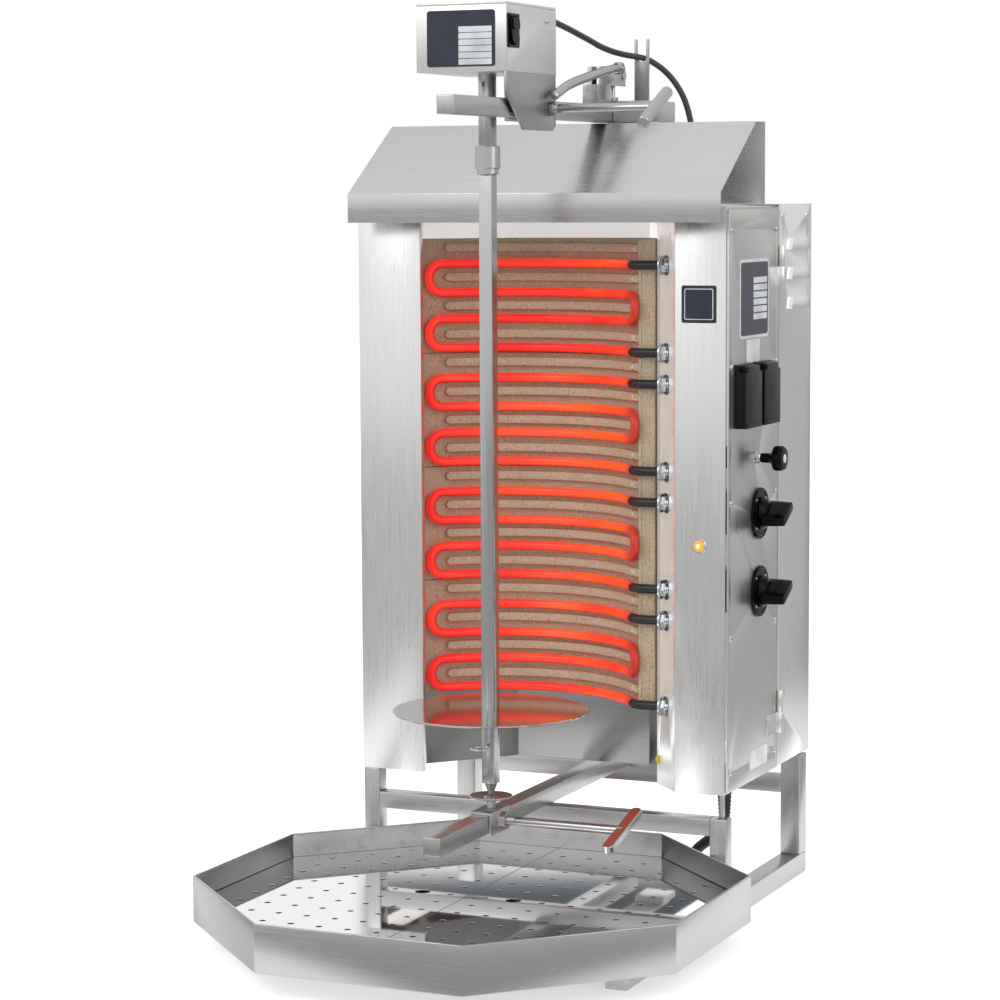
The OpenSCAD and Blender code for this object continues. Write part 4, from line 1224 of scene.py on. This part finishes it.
def make_lever():
    """The latch's curved rod, which ends in an eye round its pivot."""
    x, pivot_y, pivot_z = LATCH_PIVOT
    route = [(pivot_y, pivot_z), (94.5, 973.6), (83, 972.5), (60, 969.5), (36, 966), (14, 962.5),
             (-6, 959), (-24, 956), (-39, 953), (-53, 950), (-66, 946.5), (-78, 942.5), (-88, 939),
             (-96, 936)]
    bm = bmesh.new()
    path = smooth_path([at(x, y, z) for y, z in route], 4)
    taper = [1.0] * len(path)
    taper[:2] = math.sqrt(0.1), math.sqrt(0.75)
    taper[-2:] = 0.88, 0.55
    tube(bm, path, 5.3, 22, taper=taper)
    lathe(bm, [(0, -5.3), (6.2, -5.3), (7, -4.5), (7, 4.5), (6.2, 5.3), (0, 5.3)], LATCH_PIVOT, "X")
    piece = from_bmesh("cam_lever_rod", bm, "latch", "bar", smooth=45)
    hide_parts("cam_lever")


def make_clip():
    """A hitch clip: a ring at the front and a straight pin through the skewer."""
    bm = bmesh.new()
    z = 216
    path = [at(-2.2, SKEWER_Y + 18, z), at(-1.5, SKEWER_Y, z), at(0, SKEWER_Y - 12, z),
            at(4, SKEWER_Y - 17.5, z)]
    for k in range(0, 290, 20):
        a = math.radians(40 - k)
        path.append(at(11 * math.cos(a) * 0.95, SKEWER_Y - 27 + 10.5 * math.sin(a), z))
    tube(bm, smooth_path(path, 4), 1.4, 12)
    piece = from_bmesh("hitch_clip", bm, "spit", "zinc", smooth=60)
    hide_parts("disc_clip")


def make_disc():
    """The meat disc: a plate with a rounded rim and a square hole for the skewer."""
    low, high = span("meat_disc")
    hole = 7.8
    steps = 96
    profile = [(109.2, low.z), (110, low.z + 0.6), (110, high.z - 0.6), (109.2, high.z), (24, high.z)]
    rings = [[at(r * c, SKEWER_Y + r * s, z) for c, s in circle(steps)] for r, z in profile]
    square = [(c / max(abs(c), abs(s)), s / max(abs(c), abs(s))) for c, s in circle(steps)]
    rings += [[at(hole * x, SKEWER_Y + hole * y, z) for x, y in square] for z in (high.z, low.z)]
    bm = bmesh.new()
    loft(bm, rings, closed=True)
    piece = from_bmesh("meat_plate", bm, "disc", "disc", smooth=30)
    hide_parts("meat_disc")


def make_drive():
    for node, material, width in (("motor_box", "box", 0.9), ("motor_cover", "box", 0.9),
                                  ("motor_bracket", "bracket", 0.5), ("drive_shaft", "bar", 0.5),
                                  ("skewer_bar", "bar", 0.8), ("bearing_cup", "bar", 0.3),
                                  ("lower_saddle", "tube_y", 0.5), ("gear_motor", "casting", 0.8)):
        refined(node, material, width)
    profile = [(0, 0), (11.4, 0), (12, 0.6), (12, 6), (13.2, 6.2), (14, 7), (14, 30.2), (13.2, 31),
               (0, 31)]
    piece = turned("shaft_sleeve", "spit", "bar", profile, (0, SKEWER_Y, 851), "Z", 48, smooth=30)
    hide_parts("coupling_sleeve")
    make_rocker()
    make_upper_screw()
    make_lower_screw()
    make_clip()
    make_disc()


# ---------------------------------------------------------------- body and frame

def make_body():
    for node, material, width in (("left_panel", "panel", 0.6), ("control_cabinet", "cabinet", 0.6),
                                  ("rear_panel", "side", 0.5), ("side_panel", "side", 0.4),
                                  ("hood", "hood", 0.6), ("rear_cover", "cover", 0.5),
                                  ("back_wall", "wall", 0.4), ("hinges", "cover", 0.4),
                                  ("terminal_block", "white", 0.6), ("switch_bodies", "black", 0.8)):
        refined(node, material, width)


def make_base():
    for node, material in (("base_rail_left", "tube_y"), ("base_rail_right", "tube_y"),
                           ("front_legs", "tube_z"), ("rear_post_left", "tube_z"),
                           ("rear_post_right", "tube_z"), ("front_crossbar", "tube_x"),
                           ("rear_crossbar", "tube_x"), ("lower_arm", "tube_y"),
                           ("upper_arm", "tube_y"), ("arm_pillar", "tube_z")):
        refined(node, material, 1.1, 3)
    refined("cable_fork", "bracket", 0.5, 3)
    refined("latch_clamp", "bar", 0.5, 3)
    make_lever()


# ---------------------------------------------------------------- build

make_camera()
M = make_materials()
make_studio()
make_motor_cord()
make_mains_lead()
make_heater()
make_body()
make_base()
make_drive()
make_tray()
make_bezels()
make_knob("knob_upper", "upper_knob", KNOB_LEVELS[0])
make_knob("knob_lower", "lower_knob", KNOB_LEVELS[1])
make_pull_knob()
make_sockets()
make_lamp()
make_labels()
make_panel_screws()
